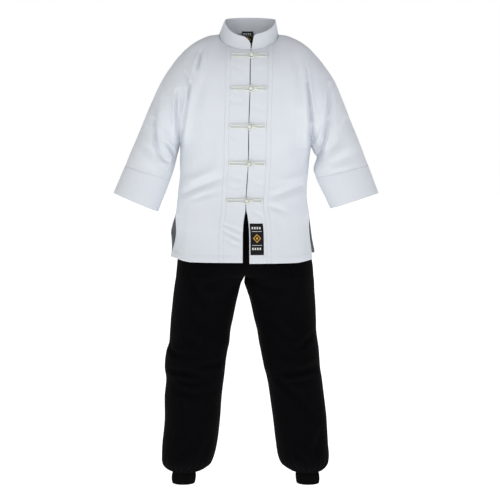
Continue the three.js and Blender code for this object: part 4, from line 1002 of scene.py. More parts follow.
def cord_material():
    """Ecru satin cord: fine slanting plies with painted shade between them, and a soft shine."""
    material, tree, shader = shader_of("ecru_cord", 0.6, 0.25, 0.4)
    ply = bands(tree, cloth_coordinates(tree), 0.0011, "DIAGONAL", 0.4)
    blotch = noise_value(tree, object_coordinates(tree), 60, 2)
    # colour: painted shade between the plies from the ply bands, mixed with uneven tone from the
    # blotch noise
    ply_shade_and_mottle = plus(tree, times(tree, ply, 0.5), times(tree, blotch, 0.5))
    color = mix_colors(tree, ply_shade_and_mottle, (0.70, 0.72, 0.655), (0.755, 0.77, 0.71))
    finish(tree, shader, color, ply, 0.0002, 0.4)
    return material


def elastic_material():
    """Black rib-knit elastic: upright ribs, painted darker in the grooves between them as shade,
    with fine cross threads.
    """
    material, tree, shader = shader_of("black_elastic", 0.9, 0.01, 0.06)
    cloth_place = cloth_coordinates(tree)
    rib = bands(tree, cloth_place, 0.0024, "X", 0.3)
    cross = bands(tree, cloth_place, 0.0011, "Y", 0.5)
    # painted shade: the grooves between the ribs get the darker black
    color = mix_colors(tree, rib, (0.001, 0.001, 0.0012), (0.0032, 0.0032, 0.0036))
    finish(tree, shader, color, plus(tree, rib, times(tree, cross, 0.35)), 0.0005, 0.5)
    return material


def between(tree, value, low, high):
    """1 where a value lies between two others, and 0 elsewhere."""
    above = math_node(tree, "GREATER_THAN", value, low)
    under = math_node(tree, "LESS_THAN", value, high)
    return times(tree, above, under)


# The design of a label: places across it are shares of its half width, and those along it are
# shares of its length, both from its middle. The ring and the centre are shares of the diamond.
LABEL_DESIGN = {
    "diamond": (0.6, 0.15), "ring": (0.72, 1), "centre": 0.34,
    "side": 0.74, "bars": (0.225, 0.24), "dashes": (0.31, 0.385), "dash_pitch": 0.37, "dash": 0.6,
}
LABEL_WHITE = (0.66, 0.66, 0.64)
LABEL_GOLD = (0.60, 0.33, 0.06)
# The two blacks of the label's weave: the darker one is painted shade in the yarn's grooves
LABEL_BLACK = ((0.003, 0.003, 0.0045), (0.010, 0.010, 0.013))


def label_material(name, width, length):
    """Black woven satin with a gold diamond between thin bars and dashes of white thread.

    The sizes of the label, across its cloth and along it, are in metres.
    """
    design = LABEL_DESIGN
    material, tree, shader = shader_of(name, 0.6, 0.05, 0.12)
    coordinates = cloth_coordinates(tree)
    split = node(tree, "ShaderNodeSeparateXYZ")
    tree.links.new(coordinates, split.inputs[0])
    from_centre = math_node(tree, "SUBTRACT", split.outputs[0], width / 2)
    across = math_node(tree, "DIVIDE", from_centre, width / 2)
    down = math_node(tree, "DIVIDE", split.outputs[1], -length)
    from_middle = math_node(tree, "ABSOLUTE", math_node(tree, "SUBTRACT", down, 0.5))
    to_side = math_node(tree, "ABSOLUTE", across)
    inside = math_node(tree, "LESS_THAN", to_side, design["side"])

    wide, long = design["diamond"]
    flat = math_node(tree, "DIVIDE", to_side, wide)
    ring = plus(tree, flat, math_node(tree, "DIVIDE", from_middle, long))
    centre = math_node(tree, "LESS_THAN", ring, design["centre"])
    gold = math_node(tree, "MAXIMUM", between(tree, ring, *design["ring"]), centre)

    dash_place = math_node(tree, "FRACT", math_node(tree, "DIVIDE", across, design["dash_pitch"]))
    dash = math_node(tree, "LESS_THAN", dash_place, design["dash"])
    dashes = times(tree, dash, between(tree, from_middle, *design["dashes"]))
    bars = math_node(tree, "MAXIMUM", dashes, between(tree, from_middle, *design["bars"]))
    white = times(tree, bars, inside)
    # the yarn bands raise the weave and also darken its grooves, as painted shade
    yarn = bands(tree, coordinates, 0.0007, "Y", 0.3)
    color = mix_colors(tree, gold, mix_colors(tree, yarn, *LABEL_BLACK), LABEL_GOLD)
    color = mix_colors(tree, white, color, LABEL_WHITE)
    raised = plus(tree, math_node(tree, "MAXIMUM", gold, white), times(tree, yarn, 0.4))
    finish(tree, shader, color, raised, 0.00025, 0.5)
    return material


WHITE_DRILL = drill_material("white_drill", light=(0.71, 0.735, 0.78), dark=(0.64, 0.67, 0.72),
                             twill=0.0011, roughness=0.85, sheen=0.08, specular=0.3)
BLACK_COTTON = drill_material("black_cotton", light=(0.0019, 0.0019, 0.0026),
                              dark=(0.0008, 0.0008, 0.0012), twill=0.001,
                              roughness=0.9, sheen=0.005, specular=0.05)
WHITE_THREAD = thread_material("white_thread", (0.72, 0.74, 0.78), 0.1, 0.3)
BLACK_THREAD = thread_material("black_thread", (0.004, 0.004, 0.0045), 0.01, 0.08)
ECRU_CORD = cord_material()
BLACK_ELASTIC = elastic_material()

STITCH_PITCH = 3.3
STITCH_LENGTH = 2.5
STITCH_HALF_WIDTH = 0.34
STITCH_HEIGHT = 0.26
STITCH_FOOT = 0.3             # how far a stitch goes into the cloth at its middle
STITCH_END = 0.22             # and at its ends


def follow(places, walked, line):
    """Points of a line at distances along it, where walked is the distance of each of its own."""
    return np.stack([np.interp(places, walked, line[:, axis]) for axis in range(3)], axis=1)


def walk(points):
    """Distance of each point of a line from its start."""
    return np.concatenate([[0], np.cumsum(np.linalg.norm(np.diff(points, axis=0), axis=1))])


def resample(points, normals, pitch):
    """Places a pitch apart along a line, with the normals and directions there."""
    walked = walk(points)
    count = max(int(walked[-1] // pitch), 2)
    at = (np.arange(count) + 0.5) * walked[-1] / count
    along = follow(at + 0.5, walked, points) - follow(at - 0.5, walked, points)
    return follow(at, walked, points), unit(follow(at, walked, normals)), unit(along)


def stitching(name, runs, material):
    """One joined mesh of single stitches along lines on the cloth, each pointed at both ends."""
    vertices, faces = [], []
    for points, normals in runs:
        place, normal, along = resample(points, normals, STITCH_PITCH)
        wide = unit(np.cross(normal, along)) * STITCH_HALF_WIDTH
        half = along * STITCH_LENGTH / 2
        ends = -normal * STITCH_END
        corners = [place - half + ends, place + wide, place + normal * STITCH_HEIGHT, place - wide,
                   place - normal * STITCH_FOOT, place + half + ends]
        first = len(vertices)
        vertices.extend(np.stack(corners, axis=1).reshape(-1, 3))
        for a in range(first, len(vertices), len(corners)):
            for k in range(4):
                one, other = a + 1 + k, a + 1 + (k + 1) % 4
                faces.append((a, other, one))
                faces.append((a + 5, one, other))
    new_object(name, vertices, faces, None, material)


def line_on(piece, where):
    """The points and normals of a row or column of a piece's outer face."""
    return piece["outer"][where], piece["normals"][where]


def nearest_index(values, target):
    return int(np.argmin(np.abs(np.asarray(values) - target)))


BODY_INSIDE = (0, 0, -330)
# Columns that run along each opening, at these distances from it, close at the edges of its strip
OFFSETS = {
    "right": [
        0, EDGE_ROLL, 2.5, 6, 10, 14.5, 19, 24, 29, 33.5, 38, 42.5, 47, 51.5, 55.2,
        56, 57.8, 60.5, 63, 65.5, 68.2, 70, 70.8,
    ],
    "left": [
        0, EDGE_ROLL, 3, 7, 12, 17, 22, 27, 32, 37, 42, 46, 49.2,
        50, 51.8, 54.5, 57, 59.5, 62.2, 64, 64.8,
    ],
}
STRIP = {"right": (56, 70), "left": (50, 64)}
STRIP_GAP = 0.12
STRIP_EDGE = 0.85             # how far a strip's edges come down, as a share of its thickness
PATCH_GAP = 0.15
PATCH_EDGE = 0.4              # how far the patch's rim comes down


def armhole_plane(side):
    armpit_x, armpit_z = ARMPIT[side]
    line = np.array((armpit_x - SIDES[side] * SHOULDER_POINT[0], 0, armpit_z - SHOULDER_POINT[1]))
    return np.cross(line, (0, 1, 0))


def vent_row_of(side):
    return YOKE_COUNT + nearest_index(levels_of(side), VENT_TOP)


def panel_planes(side, edge, shoulder_columns):
    """Seams of half a panel: which points are sewn, and the plane of each seam."""
    armpit_row = YOKE_COUNT + nearest_index(levels_of(side), ARMPIT[side][1])
    return [
        (np.s_[0, shoulder_columns], (0, 1, 0)),
        (np.s_[:armpit_row + 1, edge], armhole_plane(side)),
        (np.s_[armpit_row:vent_row_of(side) + 1, edge], (0, 1, 0)),
    ]


def along_column(grid, column):
    """Distance of each point from a column, measured in the cloth."""
    steps = np.linalg.norm(np.diff(grid, axis=1), axis=2)
    walked = np.concatenate([np.zeros((grid.shape[0], 1)), np.cumsum(steps, axis=1)], axis=1)
    return np.abs(walked - walked[:, column][:, None])


def turn_edges(grid, normals, side, vent_columns, seed, facing=0):
    """Turn the hem and the vents of a panel; returns its grid and its thickness."""
    levels = row_levels(side)[:, None]
    grid = pucker(grid, normals, np.abs(levels - HEM_TOP), seed, height=0.35)
    turned = np.maximum(levels <= HEM_TOP, facing)
    for column in vent_columns:
        at_vent = (along_column(grid, column) < VENT_FACING) & (levels <= VENT_TOP)
        turned = np.maximum(turned, at_vent)
    return grid + normals * (turned * TURNED)[..., None], (DRILL + 2 * TURNED * turned)[..., None]


def front_panel(side):
    """One front of the jacket."""
    name = f"jacket_front_{side}"
    grid = panel_grid("front", side, OFFSETS[side], opening[side])
    first_shoulder = len(OFFSETS[side]) + nearest_index(steps_of("front"), NECK_STEPS["front"]) - 1
    grid = press(grid, name, False, BODY_INSIDE, ("top", "end"), swell=0.8)
    normals = outward_normals(grid, False, BODY_INSIDE)
    opening_distance = along_column(grid, 0)
    for line in STRIP[side]:
        grid = pucker(grid, normals, opening_distance - line, 11 + line, height=0.3)
    facing = FACING_SHARE * (opening_distance < FRONT_FACING)
    grid, thickness = turn_edges(grid, normals, side, [-1], 5, facing)
    planes = panel_planes(side, -1, slice(first_shoulder, None))
    return cloth(name, grid, False, BODY_INSIDE, planes, thickness, WHITE_DRILL,
                 free=("bottom", "start"), sewn_edges=("end", "top"))


def sewn_on(name, front, part, gap, thickness, edges, drop, material):
    """A flat piece made from a front's points moved out, with edges that come down by the drop.

    It returns the points and the normals of its outer face.
    """
    base, normals = front["grid"][part], front["normals"][part]
    outer = base + normals * (gap + thickness)
    for edge in edges:
        outer[EDGES[edge]] -= normals[EDGES[edge]] * drop
    trim(name, outer, base + normals * gap, material)
    return outer, normals


def placket_strip(side, front):
    """The strip stitched along the opening."""
    low, high = STRIP[side]
    columns = [n for n, offset in enumerate(OFFSETS[side]) if low <= offset <= high]
    part = np.s_[2:, columns[0]:columns[-1] + 1]
    outer, normals = sewn_on(f"placket_{side}", front, part, STRIP_GAP, TRIM, ("start", "end"),
                             TRIM * STRIP_EDGE, WHITE_DRILL)
    return [(outer[:, n], normals[:, n]) for n in (1, -2)]


def hem_patch(front):
    """The woven patch on the left front."""
    levels = levels_of("left")
    top, bottom = (YOKE_COUNT + nearest_index(levels, PATCH[end]) for end in ("top", "bottom"))
    first, last = (OFFSETS["left"].index(PATCH[end]) for end in ("from", "to"))
    part = np.s_[top:bottom + 1, first:last + 1]
    width = (PATCH["to"] - PATCH["from"]) * MM
    length = (PATCH["top"] - PATCH["bottom"]) * MM
    material = label_material("woven_patch", width, length)
    outer, normals = sewn_on("hem_patch", front, part, PATCH_GAP, LABEL, EDGES, PATCH_EDGE,
                             material)
    rim = [(outer[line], normals[line]) for line in (1, -2, np.s_[:, 1], np.s_[:, -2])]
    stitching("hem_patch_stitches", rim, BLACK_THREAD)


def back_panel():
    """The whole back of the jacket."""
    right, left = (panel_grid("back", side, [0], body["middle"]) for side in SIDES)
    half = right.shape[1] - 1
    middle = (right[:, :1] + left[:, :1]) / 2
    grid = np.concatenate([right[:, :0:-1], middle, left[:, 1:]], axis=1)
    grid = press(grid, "jacket_back", False, BODY_INSIDE, ("top", "start", "end"))
    normals = outward_normals(grid, False, BODY_INSIDE)
    grid, thickness = turn_edges(grid, normals, "left", [0, -1], 8)
    on_shoulder = nearest_index(steps_of("back"), NECK_STEPS["back"])
    planes = [
        *panel_planes("right", 0, slice(0, half - on_shoulder)),
        *panel_planes("left", -1, slice(half + 1 + on_shoulder, None)),
    ]
    return cloth("jacket_back", grid, False, BODY_INSIDE, planes, thickness, WHITE_DRILL,
                 free=("bottom",), sewn_edges=("start", "end", "top"))


SLEEVE_AROUND = 168
SLEEVE_RINGS = 122
CUFF_RINGS = 26
ELBOW_ROW = 3
ABOVE_CUFF = 4                # where the seams draw up the sleeve, from its ends
BELOW_ARMHOLE = 5
SEAM_ROW = 0.012              # place of the row that rounds off a sleeve's end, in its table's rows
CUFF_SEAM_ROW = 0.01
CUFF_STITCHES = 22            # from the lower edge of a cuff to its line of stitches
CUFF_DOUBLED = 0.5            # how far the doubled cuff stands out from the sleeve
CUFF_STEP = 1.2               # distance from its seam over which it comes to do so


def sleeve_ring(side, row):
    """One ring of a sleeve; whole rows are the rows of its table."""
    at = {name: curve(row) for name, curve in sleeves[side].items()}
    outer = np.array((at["outer_x"], 0, at["outer_z"]))
    inner = np.array((at["inner_x"], 0, at["inner_z"]))
    angles = 2 * np.pi * np.arange(SLEEVE_AROUND) / SLEEVE_AROUND
    across = np.sin(angles)
    depth = np.where(across > 0, at["front"], at["back"])
    ring = (outer + inner) / 2 + np.cos(angles)[:, None] * (outer - inner) / 2
    ring[:, 1] = at["middle_y"] - depth * across
    return ring


def distance_to(grid, row):
    """Distance of each point of a grid from the point of a row in its own column."""
    return np.linalg.norm(grid - grid[row], axis=2)


def ring_plane(side, row):
    ring = sleeve_ring(side, row)
    return np.cross(ring[0] - ring[SLEEVE_AROUND // 2], (0, 1, 0))


def tube(name, side, first, last, count, seam_row, middle_row, sewn, swell):
    """Rings of a sleeve's table from a row to another, with the creases of the piece pressed in.

    It returns their grid, its normals and a place inside.
    """
    between_ends = np.linspace(first, last, count)[1:-1]
    rows = [first, first + seam_row, *between_ends, last - seam_row, last]
    grid = np.array([sleeve_ring(side, row) for row in rows])
    inside = sleeve_ring(side, middle_row).mean(axis=0)
    grid = press(grid, name, True, inside, sewn, swell)
    return grid, outward_normals(grid, True, inside), inside


def sleeve(side):
    """A sleeve and its cuff; returns the lines that are stitched."""
    name = f"sleeve_{side}"
    grid, normals, inside = tube(name, side, 0, CUFF_ROW, SLEEVE_RINGS, SEAM_ROW, ELBOW_ROW,
                                 ("top", "bottom"), 1.0)
    at_cuff, at_armhole = distance_to(grid, -1) - ABOVE_CUFF, distance_to(grid, 0) - BELOW_ARMHOLE
    grid = pucker(grid, normals, at_cuff, 21)
    grid = pucker(grid, normals, at_armhole, 22, size=16, height=0.5, reach=14)
    planes = [(np.s_[0], armhole_plane(side)), (np.s_[-1], ring_plane(side, CUFF_ROW))]
    upper = cloth(name, grid, True, inside, planes, DRILL, WHITE_DRILL,
                  sewn_edges=("top", "bottom"))

    end = len(SLEEVES[side]) - 1
    name = f"cuff_{side}"
    grid, normals, inside = tube(name, side, CUFF_ROW, end, CUFF_RINGS, CUFF_SEAM_ROW,
                                 CUFF_ROW + 0.5, ("top",), 0.7)
    grid = pucker(grid, normals, distance_to(grid, -1) - CUFF_STITCHES, 25)
    doubled = np.clip(distance_to(grid, 0) / CUFF_STEP, 0, 1) * CUFF_DOUBLED
    grid = grid + normals * doubled[..., None]
    planes = [(np.s_[0], ring_plane(side, CUFF_ROW))]
    cuff = cloth(name, grid, True, inside, planes, CUFF_CLOTH, WHITE_DRILL,
                 free=("bottom",), sewn_edges=("top",))
    all_round = np.r_[0:SLEEVE_AROUND, 0]
    lines = ((upper, 2), (cuff, 3), (cuff, -3), (cuff, -8))
    return [line_on(piece, np.s_[row, all_round]) for piece, row in lines]


# Where the front ends of the collar are, and the radius of their corners and their height
COLLAR_ENDS = {
    "right": {"x": 8.4, "corner": 28, "height": 38},
    "left": {"x": 9.6, "corner": 9, "height": 45},
}
# How far the collar leans in for its height: at the centre front, the two sides and the back
COLLAR_LEAN = {"front": 0.2, "right": 0.4, "left": 0.19, "back": 0.16}
COLLAR_BACK_RISE = 2.5
COLLAR_FOOT = SEAM * 0.3      # gap between the neckline and the foot of the collar
COLLAR_SINK = 1.2             # how far the foot of the collar then goes into the seam
COLLAR_SPREAD_LEFT = 9        # how far the top of its left end leans out
COLLAR_SPREAD_OVER = 0.35     # angle from the end over which this dies out
COLLAR_RADIUS = (NECK_HALF_WIDTH + NECK_FRONT) / 2
COLLAR_SETTLED = 110          # distance from its end at which the collar has its usual height
COLLAR_END_STEPS = [0, 0.5, 1.3, 2.6, 4.2, 6.2, 8.6, 11.5, 15, 19, 23, 27.5, 32]
COLLAR_COLUMNS = 54           # columns from the last of these steps to the centre back
COLLAR_SHARES = [0, 0.02, 0.07, 0.14, 0.23, 0.33, 0.44, 0.55, 0.66, 0.76, 0.85, 0.92, 0.98, 1]
# Unevenness of the collar: height, stretch of its place, size and seed of each
COLLAR_WAVES = [(0.7, (1, 1, 1), 45, 3), (0.5, (0.3, 0.3, 1), 9, 9), (0.3, (1, 1, 1), 15, 5)]


def collar_height(side, distance):
    """Height of the collar at a distance from one of its rounded front ends."""
    corner, height = COLLAR_ENDS[side]["corner"], COLLAR_ENDS[side]["height"]
    settled = lerp(height, COLLAR_HEIGHT, float(smoothstep(0, COLLAR_SETTLED, distance)))
    if distance >= corner:
        return settled
    return settled - corner + math.sqrt(corner ** 2 - (corner - distance) ** 2)


def collar_columns(side):
    """The columns of one side of the collar, from its front end to the centre back."""
    end = SIDES[side] * neck_angle(COLLAR_ENDS[side]["x"])
    whole = (math.pi - end) * COLLAR_RADIUS
    columns = []
    beyond_end = np.linspace(COLLAR_END_STEPS[-1], whole, COLLAR_COLUMNS)[1:]
    for distance in (*COLLAR_END_STEPS, *beyond_end):
        angle = end + distance / COLLAR_RADIUS
        forward = math.cos(angle)
        middle_lean = COLLAR_LEAN["front" if forward > 0 else "back"]
        lean = lerp(COLLAR_LEAN[side], middle_lean, forward ** 2)
        inward = np.array((-SIDES[side] * math.sin(angle), forward, 0))
        tall = collar_height(side, distance) + COLLAR_BACK_RISE * min(forward, 0) ** 2
        column = []
        for share in COLLAR_SHARES:
            height = tall * share
            point = neckline(SIDES[side] * angle) + inward * lean * height
            point[2] += COLLAR_FOOT + height
            if side == "left":
                spread = (height / COLLAR_HEIGHT) * math.exp((end - angle) / COLLAR_SPREAD_OVER)
                point[0] += COLLAR_SPREAD_LEFT * spread
            column.append(point)
        columns.append(column)
    return columns


def collar():
    """The standing collar, from its right front end round the back to its left one."""
    columns = [*collar_columns("right"), *collar_columns("left")[::-1][1:]]
    grid = np.array(columns).transpose(1, 0, 2)
    inside = (NECK_MIDDLE, -10, 0)
    normals = outward_normals(grid, False, inside)
    wave = sum(height * rumple(grid * stretch, *size_and_seed)
               for height, stretch, *size_and_seed in COLLAR_WAVES)
    fade = np.linspace(0, 1, grid.shape[0])[:, None]
    grid = grid + normals * (wave * fade)[..., None]
    grid[0, :, 2] -= COLLAR_SINK
    piece = cloth("collar", grid, False, inside, [], COLLAR_CLOTH, WHITE_DRILL,
                  free=("bottom", "start", "end"))
    outside = [line_on(piece, where) for where in (2, -4, np.s_[2:-3, 5], np.s_[2:-3, -6])]
    return outside + [(piece["inner"][row], -piece["normals"][row]) for row in (-4, 2)]


NECK_LABEL_X = -1
NECK_LABEL_HALF_WIDTH = 17
NECK_LABEL_TOP = 14
NECK_LABEL_BOTTOM = -36
NECK_LABEL_SLOPE = 0.06
NECK_LABEL_CURL = 0.7
NECK_LABEL_SIZE = (29, 25)    # its rows and columns


def neck_label():
    """The woven label that hangs from the back of the collar, inside."""
    height = NECK_LABEL_TOP - NECK_LABEL_BOTTOM
    grid = []
    rows, columns = NECK_LABEL_SIZE
    for share in np.linspace(0, 1, rows):
        row = []
        for place in np.linspace(-1, 1, columns):
            x = NECK_LABEL_X + place * NECK_LABEL_HALF_WIDTH
            angle = math.pi - neck_angle(x)
            y = neckline(angle)[1] - COLLAR_LEAN["back"] * NECK_LABEL_TOP - COLLAR_CLOTH - SEAM
            y += NECK_LABEL_SLOPE * height * share - NECK_LABEL_CURL * share * math.cos(2.5 * place)
            row.append((x, y, NECK_LABEL_TOP - height * share))
        grid.append(row)
    grid = np.array(grid)
    normals = outward_normals(grid, False, (0, 200, 0))
    material = label_material("woven_neck_label", 2 * NECK_LABEL_HALF_WIDTH * MM, height * MM)
    trim("neck_label", grid, grid - normals * LABEL, material)
    edges = [(grid[line], normals[line]) for line in (1, np.s_[:, 1], np.s_[:, -2])]
    stitching("neck_label_stitches", edges, WHITE_THREAD)


LINE_STEPS = 16
PLIES = 3
PLY_DEPTH = 0.11
LAY_LENGTH = 8.5              # length of cord for one turn of a ply
CORD_SIDES = 14


def smooth_line(points, closed, count):
    """Places evenly spread along a smooth line through the points, and the line's length."""
    total = len(points)
    spans = total if closed else total - 1
    fine = []
    for step in range(spans * LINE_STEPS + (0 if closed else 1)):
        span, share = divmod(step, LINE_STEPS)
        share /= LINE_STEPS
        if span == spans:
            span, share = spans - 1, 1.0
        picks = [span - 1, span, span + 1, span + 2]
        picks = [n % total if closed else min(max(n, 0), total - 1) for n in picks]
        a, b, c, d = (points[n] for n in picks)
        fine.append(0.5 * (2 * b + (c - a) * share + (2 * a - 5 * b + 4 * c - d) * share ** 2
                           + (3 * b - a - 3 * c + d) * share ** 3))
    if closed:
        fine.append(fine[0])
    fine = np.array(fine)
    walked = walk(fine)
    at = np.linspace(0, walked[-1], count + 1)
    return follow(at[:-1] if closed else at, walked, fine), walked[-1]


def cord(name, path, length, closed, radius):
    """A laid cord along a path, in the place of the solid of the same name."""
    count = len(path)
    if closed:
        ahead = np.roll(path, -1, axis=0) - np.roll(path, 1, axis=0)
    else:
        ahead = np.gradient(path, axis=0)
    ahead = unit(ahead)
    frames = []
    side = unit(np.cross(ahead[0], (0, 1, 0.01)))
    for direction in ahead:
        side = unit(side - np.dot(side, direction) * direction)
        frames.append((side, np.cross(direction, side)))
    turn_back = 0.0
    if closed:
        first, last = frames[0][0], frames[-1][0]
        turn_back = math.atan2(np.dot(np.cross(last, first), ahead[0]), np.dot(last, first))
    lay = round(length / LAY_LENGTH) if closed else length / LAY_LENGTH
    angles = 2 * np.pi * np.arange(CORD_SIDES) / CORD_SIDES
    vertices, uvs = [], []
    for n in range(count):
        share = n / count if closed else n / (count - 1)
        one, other = frames[n]
        around = angles + turn_back * share
        twist = PLIES * angles + 2 * np.pi * lay * share
        swell = radius * (1 - PLY_DEPTH * (0.5 + 0.5 * np.cos(twist)))[:, None]
        ring = path[n] + swell * (np.cos(around)[:, None] * one + np.sin(around)[:, None] * other)
        vertices.extend(ring)
        uvs.extend(np.stack([angles * radius, np.full(CORD_SIDES, share * length)], axis=1) * MM)
    faces = []
    for n in range(count if closed else count - 1):
        for k in range(CORD_SIDES):
            here, there = n * CORD_SIDES, ((n + 1) % count) * CORD_SIDES
            other = (k + 1) % CORD_SIDES
            faces.append((here + k, here + other, there + other, there + k))
    if not closed:
        faces.append(tuple(range(CORD_SIDES - 1, -1, -1)))
        faces.append(tuple((count - 1) * CORD_SIDES + k for k in range(CORD_SIDES)))
    obj = new_object(name, vertices, faces, uvs, ECRU_CORD)
    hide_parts(name)


RAY_START = -400              # y of a place well in front of the jacket
DEEPEST_CREASE = 8            # a hit further than this from the plain form is the far side's


def front_surface(fronts):
    """A function that finds the outer face of the jacket fronts and the direction out of it."""
    vertices, faces = [], []
    for piece in fronts.values():
        grid = piece["outer"]
        rows, columns = grid.shape[:2]
        first = len(vertices)
        vertices.extend(Vector(point) for point in grid.reshape(-1, 3))
        for j in range(rows - 1):
            for i in range(columns - 1):
                a = first + j * columns + i
                faces.append((a, a + 1, a + columns + 1, a + columns))
    tree = BVHTree.FromPolygons(vertices, faces)

    def on_front(x, z, lift):
        here = panel_point("front", x, z)
        across = panel_point("front", x + NEARBY, z) - panel_point("front", x - NEARBY, z)
        down = panel_point("front", x, z - NEARBY) - panel_point("front", x, z + NEARBY)
        out = unit(np.cross(down, across))
        out = out * (-1 if out[1] > 0 else 1)
        hit = tree.ray_cast(Vector((x, RAY_START, z)), Vector((0, 1, 0)))[0]
        if hit is not None and abs(hit.y - here[1]) < DEEPEST_CREASE:
            here = np.array(hit)
        return here + out * lift

    return on_front


# The ball: a strand that goes round and weaves in and out, in mm
BALL = {"turns": 3, "weaves": 5, "strand": 1.55, "ring": 2.7, "swing": 1.95, "rise": 4.3}
LOOP_STEPS = 150
KNOT_STEPS = 110
BALL_STEPS = 240
BALL_CORNER = 0.72            # where the loop goes round the ball, as a share of its distance


def frog_closure(number, frog, on_front):
    """One closure: a loop on the right front, and a doubled cord and its ball on the left."""
    half = FROG_SPREAD / 2
    radius = FROG_BALL / 2
    ball_x = frog["x"] + FROG_BALL_OFFSET
    right_x = frog["x"] - FROG_REACH_RIGHT
    left_x = frog["x"] + FROG_REACH_LEFT
    clear = radius + FROG_CORD / 2 + 0.1
    corner = clear * BALL_CORNER
    lane = FROG_CORD / 2 + 0.05

    def place(x, up, lift=FROG_LIFT):
        return on_front(x, frog["z"] + up, lift)

    def loop_side(sign):
        """One side of the loop, from its outer end to the ball, which it goes round."""
        return [
            place(right_x + 0.6, sign * 2.4),
            place(right_x + 4, sign * (half + 0.6)),
            place(right_x + 14, sign * half),
            place(frog["x"] - 38, sign * half),
            place(frog["x"] - 22, sign * half),
            place(ball_x - 9, sign * (half + 1.6), FROG_LIFT + 0.6),
            place(ball_x, sign * clear, FROG_LIFT + 1.6),
            place(ball_x + corner, sign * corner, FROG_LOOP_LIFT),
        ]

    def leg(sign):
        """One leg of the doubled cord, from the ball's neck to its outer end."""
        return [
            place(ball_x + 0.8 * radius, sign * lane * 0.8, FROG_LIFT + 0.8),
            place(ball_x + 10, sign * lane),
            place(ball_x + 15, sign * lane),
            place(ball_x + 22, sign * half),
            place(left_x - 12, sign * half),
            place(left_x - 3.4, sign * (half + 0.6)),
        ]

    behind_ball = place(ball_x + clear + 0.6, 0, FROG_LOOP_LIFT + 0.6)
    points = [*loop_side(1), behind_ball, *loop_side(-1)[::-1]]
    path, length = smooth_line(points, True, LOOP_STEPS)
    cord(f"frog_{number}_loop", path, length, True, FROG_CORD / 2)
    points = [*leg(1), place(left_x - 0.4, 0), *leg(-1)[::-1]]
    path, length = smooth_line(points, False, KNOT_STEPS)
    cord(f"frog_{number}_knot", path, length, False, FROG_CORD / 2)

    t = 2 * np.pi * np.arange(BALL_STEPS) / BALL_STEPS
    spread = BALL["ring"] + BALL["swing"] * np.cos(BALL["weaves"] * t)
    tilt = math.radians(18 * (number % 3) - 12)
    flat_x = spread * np.cos(BALL["turns"] * t)
    flat_z = spread * np.sin(BALL["turns"] * t)
    deep = BALL["rise"] * np.sin(BALL["weaves"] * t)
    path = place(ball_x, 0, radius + SEAM) + np.stack([
        flat_x * math.cos(tilt) - deep * math.sin(tilt) * 0.4,
        deep * math.cos(tilt) * 0.98,
        flat_z + flat_x * 0.1 * math.sin(tilt),
    ], axis=1)
    cord(f"frog_{number}_ball", path, walk(path)[-1], True, BALL["strand"])


RISE_X = (-13, -10)           # x of the line between the legs, at the waist and at the crotch
RISE_GAP = 0.05               # distance of each leg's panels from that line
DIVIDING = 1.2                # power of the way in which the seat divides into two legs
EDGE_SHARE = 0.05             # the gathers set in over this share of a panel, beside its seams


def share_below(top, z):
    """How far down from a level a place is, as a share of the way to the crotch."""
    return min(max((top - z) / (top - CROTCH), 0), 1)


def leg_section(side, z):
    """A level section of one leg or half seat.

    It gives the middle, the half width, the start angle, the depths in front and behind, and the y
    of the middle.
    """
    sign = SIDES[side]
    if z < CROTCH:
        outer = legs[f"{side}_outer"](z)
        inner = legs[f"{side}_inner"](z)
        half_width = abs(outer - inner) / 2
        depths = legs["front"](z), legs["back"](z)
        return (outer + inner) / 2, half_width, -math.pi / 2, *depths, legs["middle_y"](z)
    divided = share_below(SEAT_TOP, z) ** DIVIDING
    rise = lerp(*RISE_X, share_below(WAIST_Z, z)) + sign * RISE_GAP
    whole = abs(seat[side](z) - rise)
    start = -math.asin((divided / 2) / (1 - divided / 2))
    middle = rise + sign * (whole / 2) * divided
    return middle, whole * (1 - divided / 2), start, seat["front"](z), seat["back"](z), 0


LEG_ACROSS = 62
LEG_EDGE = 0.008              # share of the column beside each seam
TROUSER_SWELL = 1.15
KNEE_Z = -900
GATHERS_TOP = -1282
# Numbers of levels down to the seat, the crotch and the ankle's gathers, and over the gathers
LEG_LEVELS = {"seat": 44, "crotch": 26, "leg": 136, "gathered": 22}
# Gathers round half an ankle or the half waist: count, height, and where they set in and end
ANKLE_GATHERS = {"count": 26, "height": 2.6, "from": 9, "over": 30}
WAIST_GATHERS = {"count": 30, "height": 1.6, "from": 8, "over": 24}
NEAR_CROTCH = (-706, -709, -712, -714, -716, -717.5, -718.5, CROTCH, -720, -722, -725, -728, -732)


def leg_levels():
    """Levels of the rows of a trouser panel, close together at the crotch and over the gathers."""
    to_seat = np.linspace(WAIST_Z, SEAT_TOP, LEG_LEVELS["seat"])
    to_crotch = np.linspace(SEAT_TOP, NEAR_CROTCH[0] + 4, LEG_LEVELS["crotch"])[1:]
    to_gathers = np.linspace(NEAR_CROTCH[-1] - 4, GATHERS_TOP, LEG_LEVELS["leg"])
    gathered = np.linspace(GATHERS_TOP, ANKLE_Z, LEG_LEVELS["gathered"])[1:]
    return [float(z) for z in (*to_seat, *to_crotch, *NEAR_CROTCH, *to_gathers, *gathered)]


def gathers(kind, distance, share, drift):
    """Height of the gathers at a distance from the seam that draws them up."""
    beyond = np.clip(distance - kind["from"], 0, None)
    bloom = np.clip(distance / kind["from"], 0, 1) * np.exp(-beyond / kind["over"])
    return kind["height"] * bloom * np.cos(kind["count"] * math.pi * share + drift)


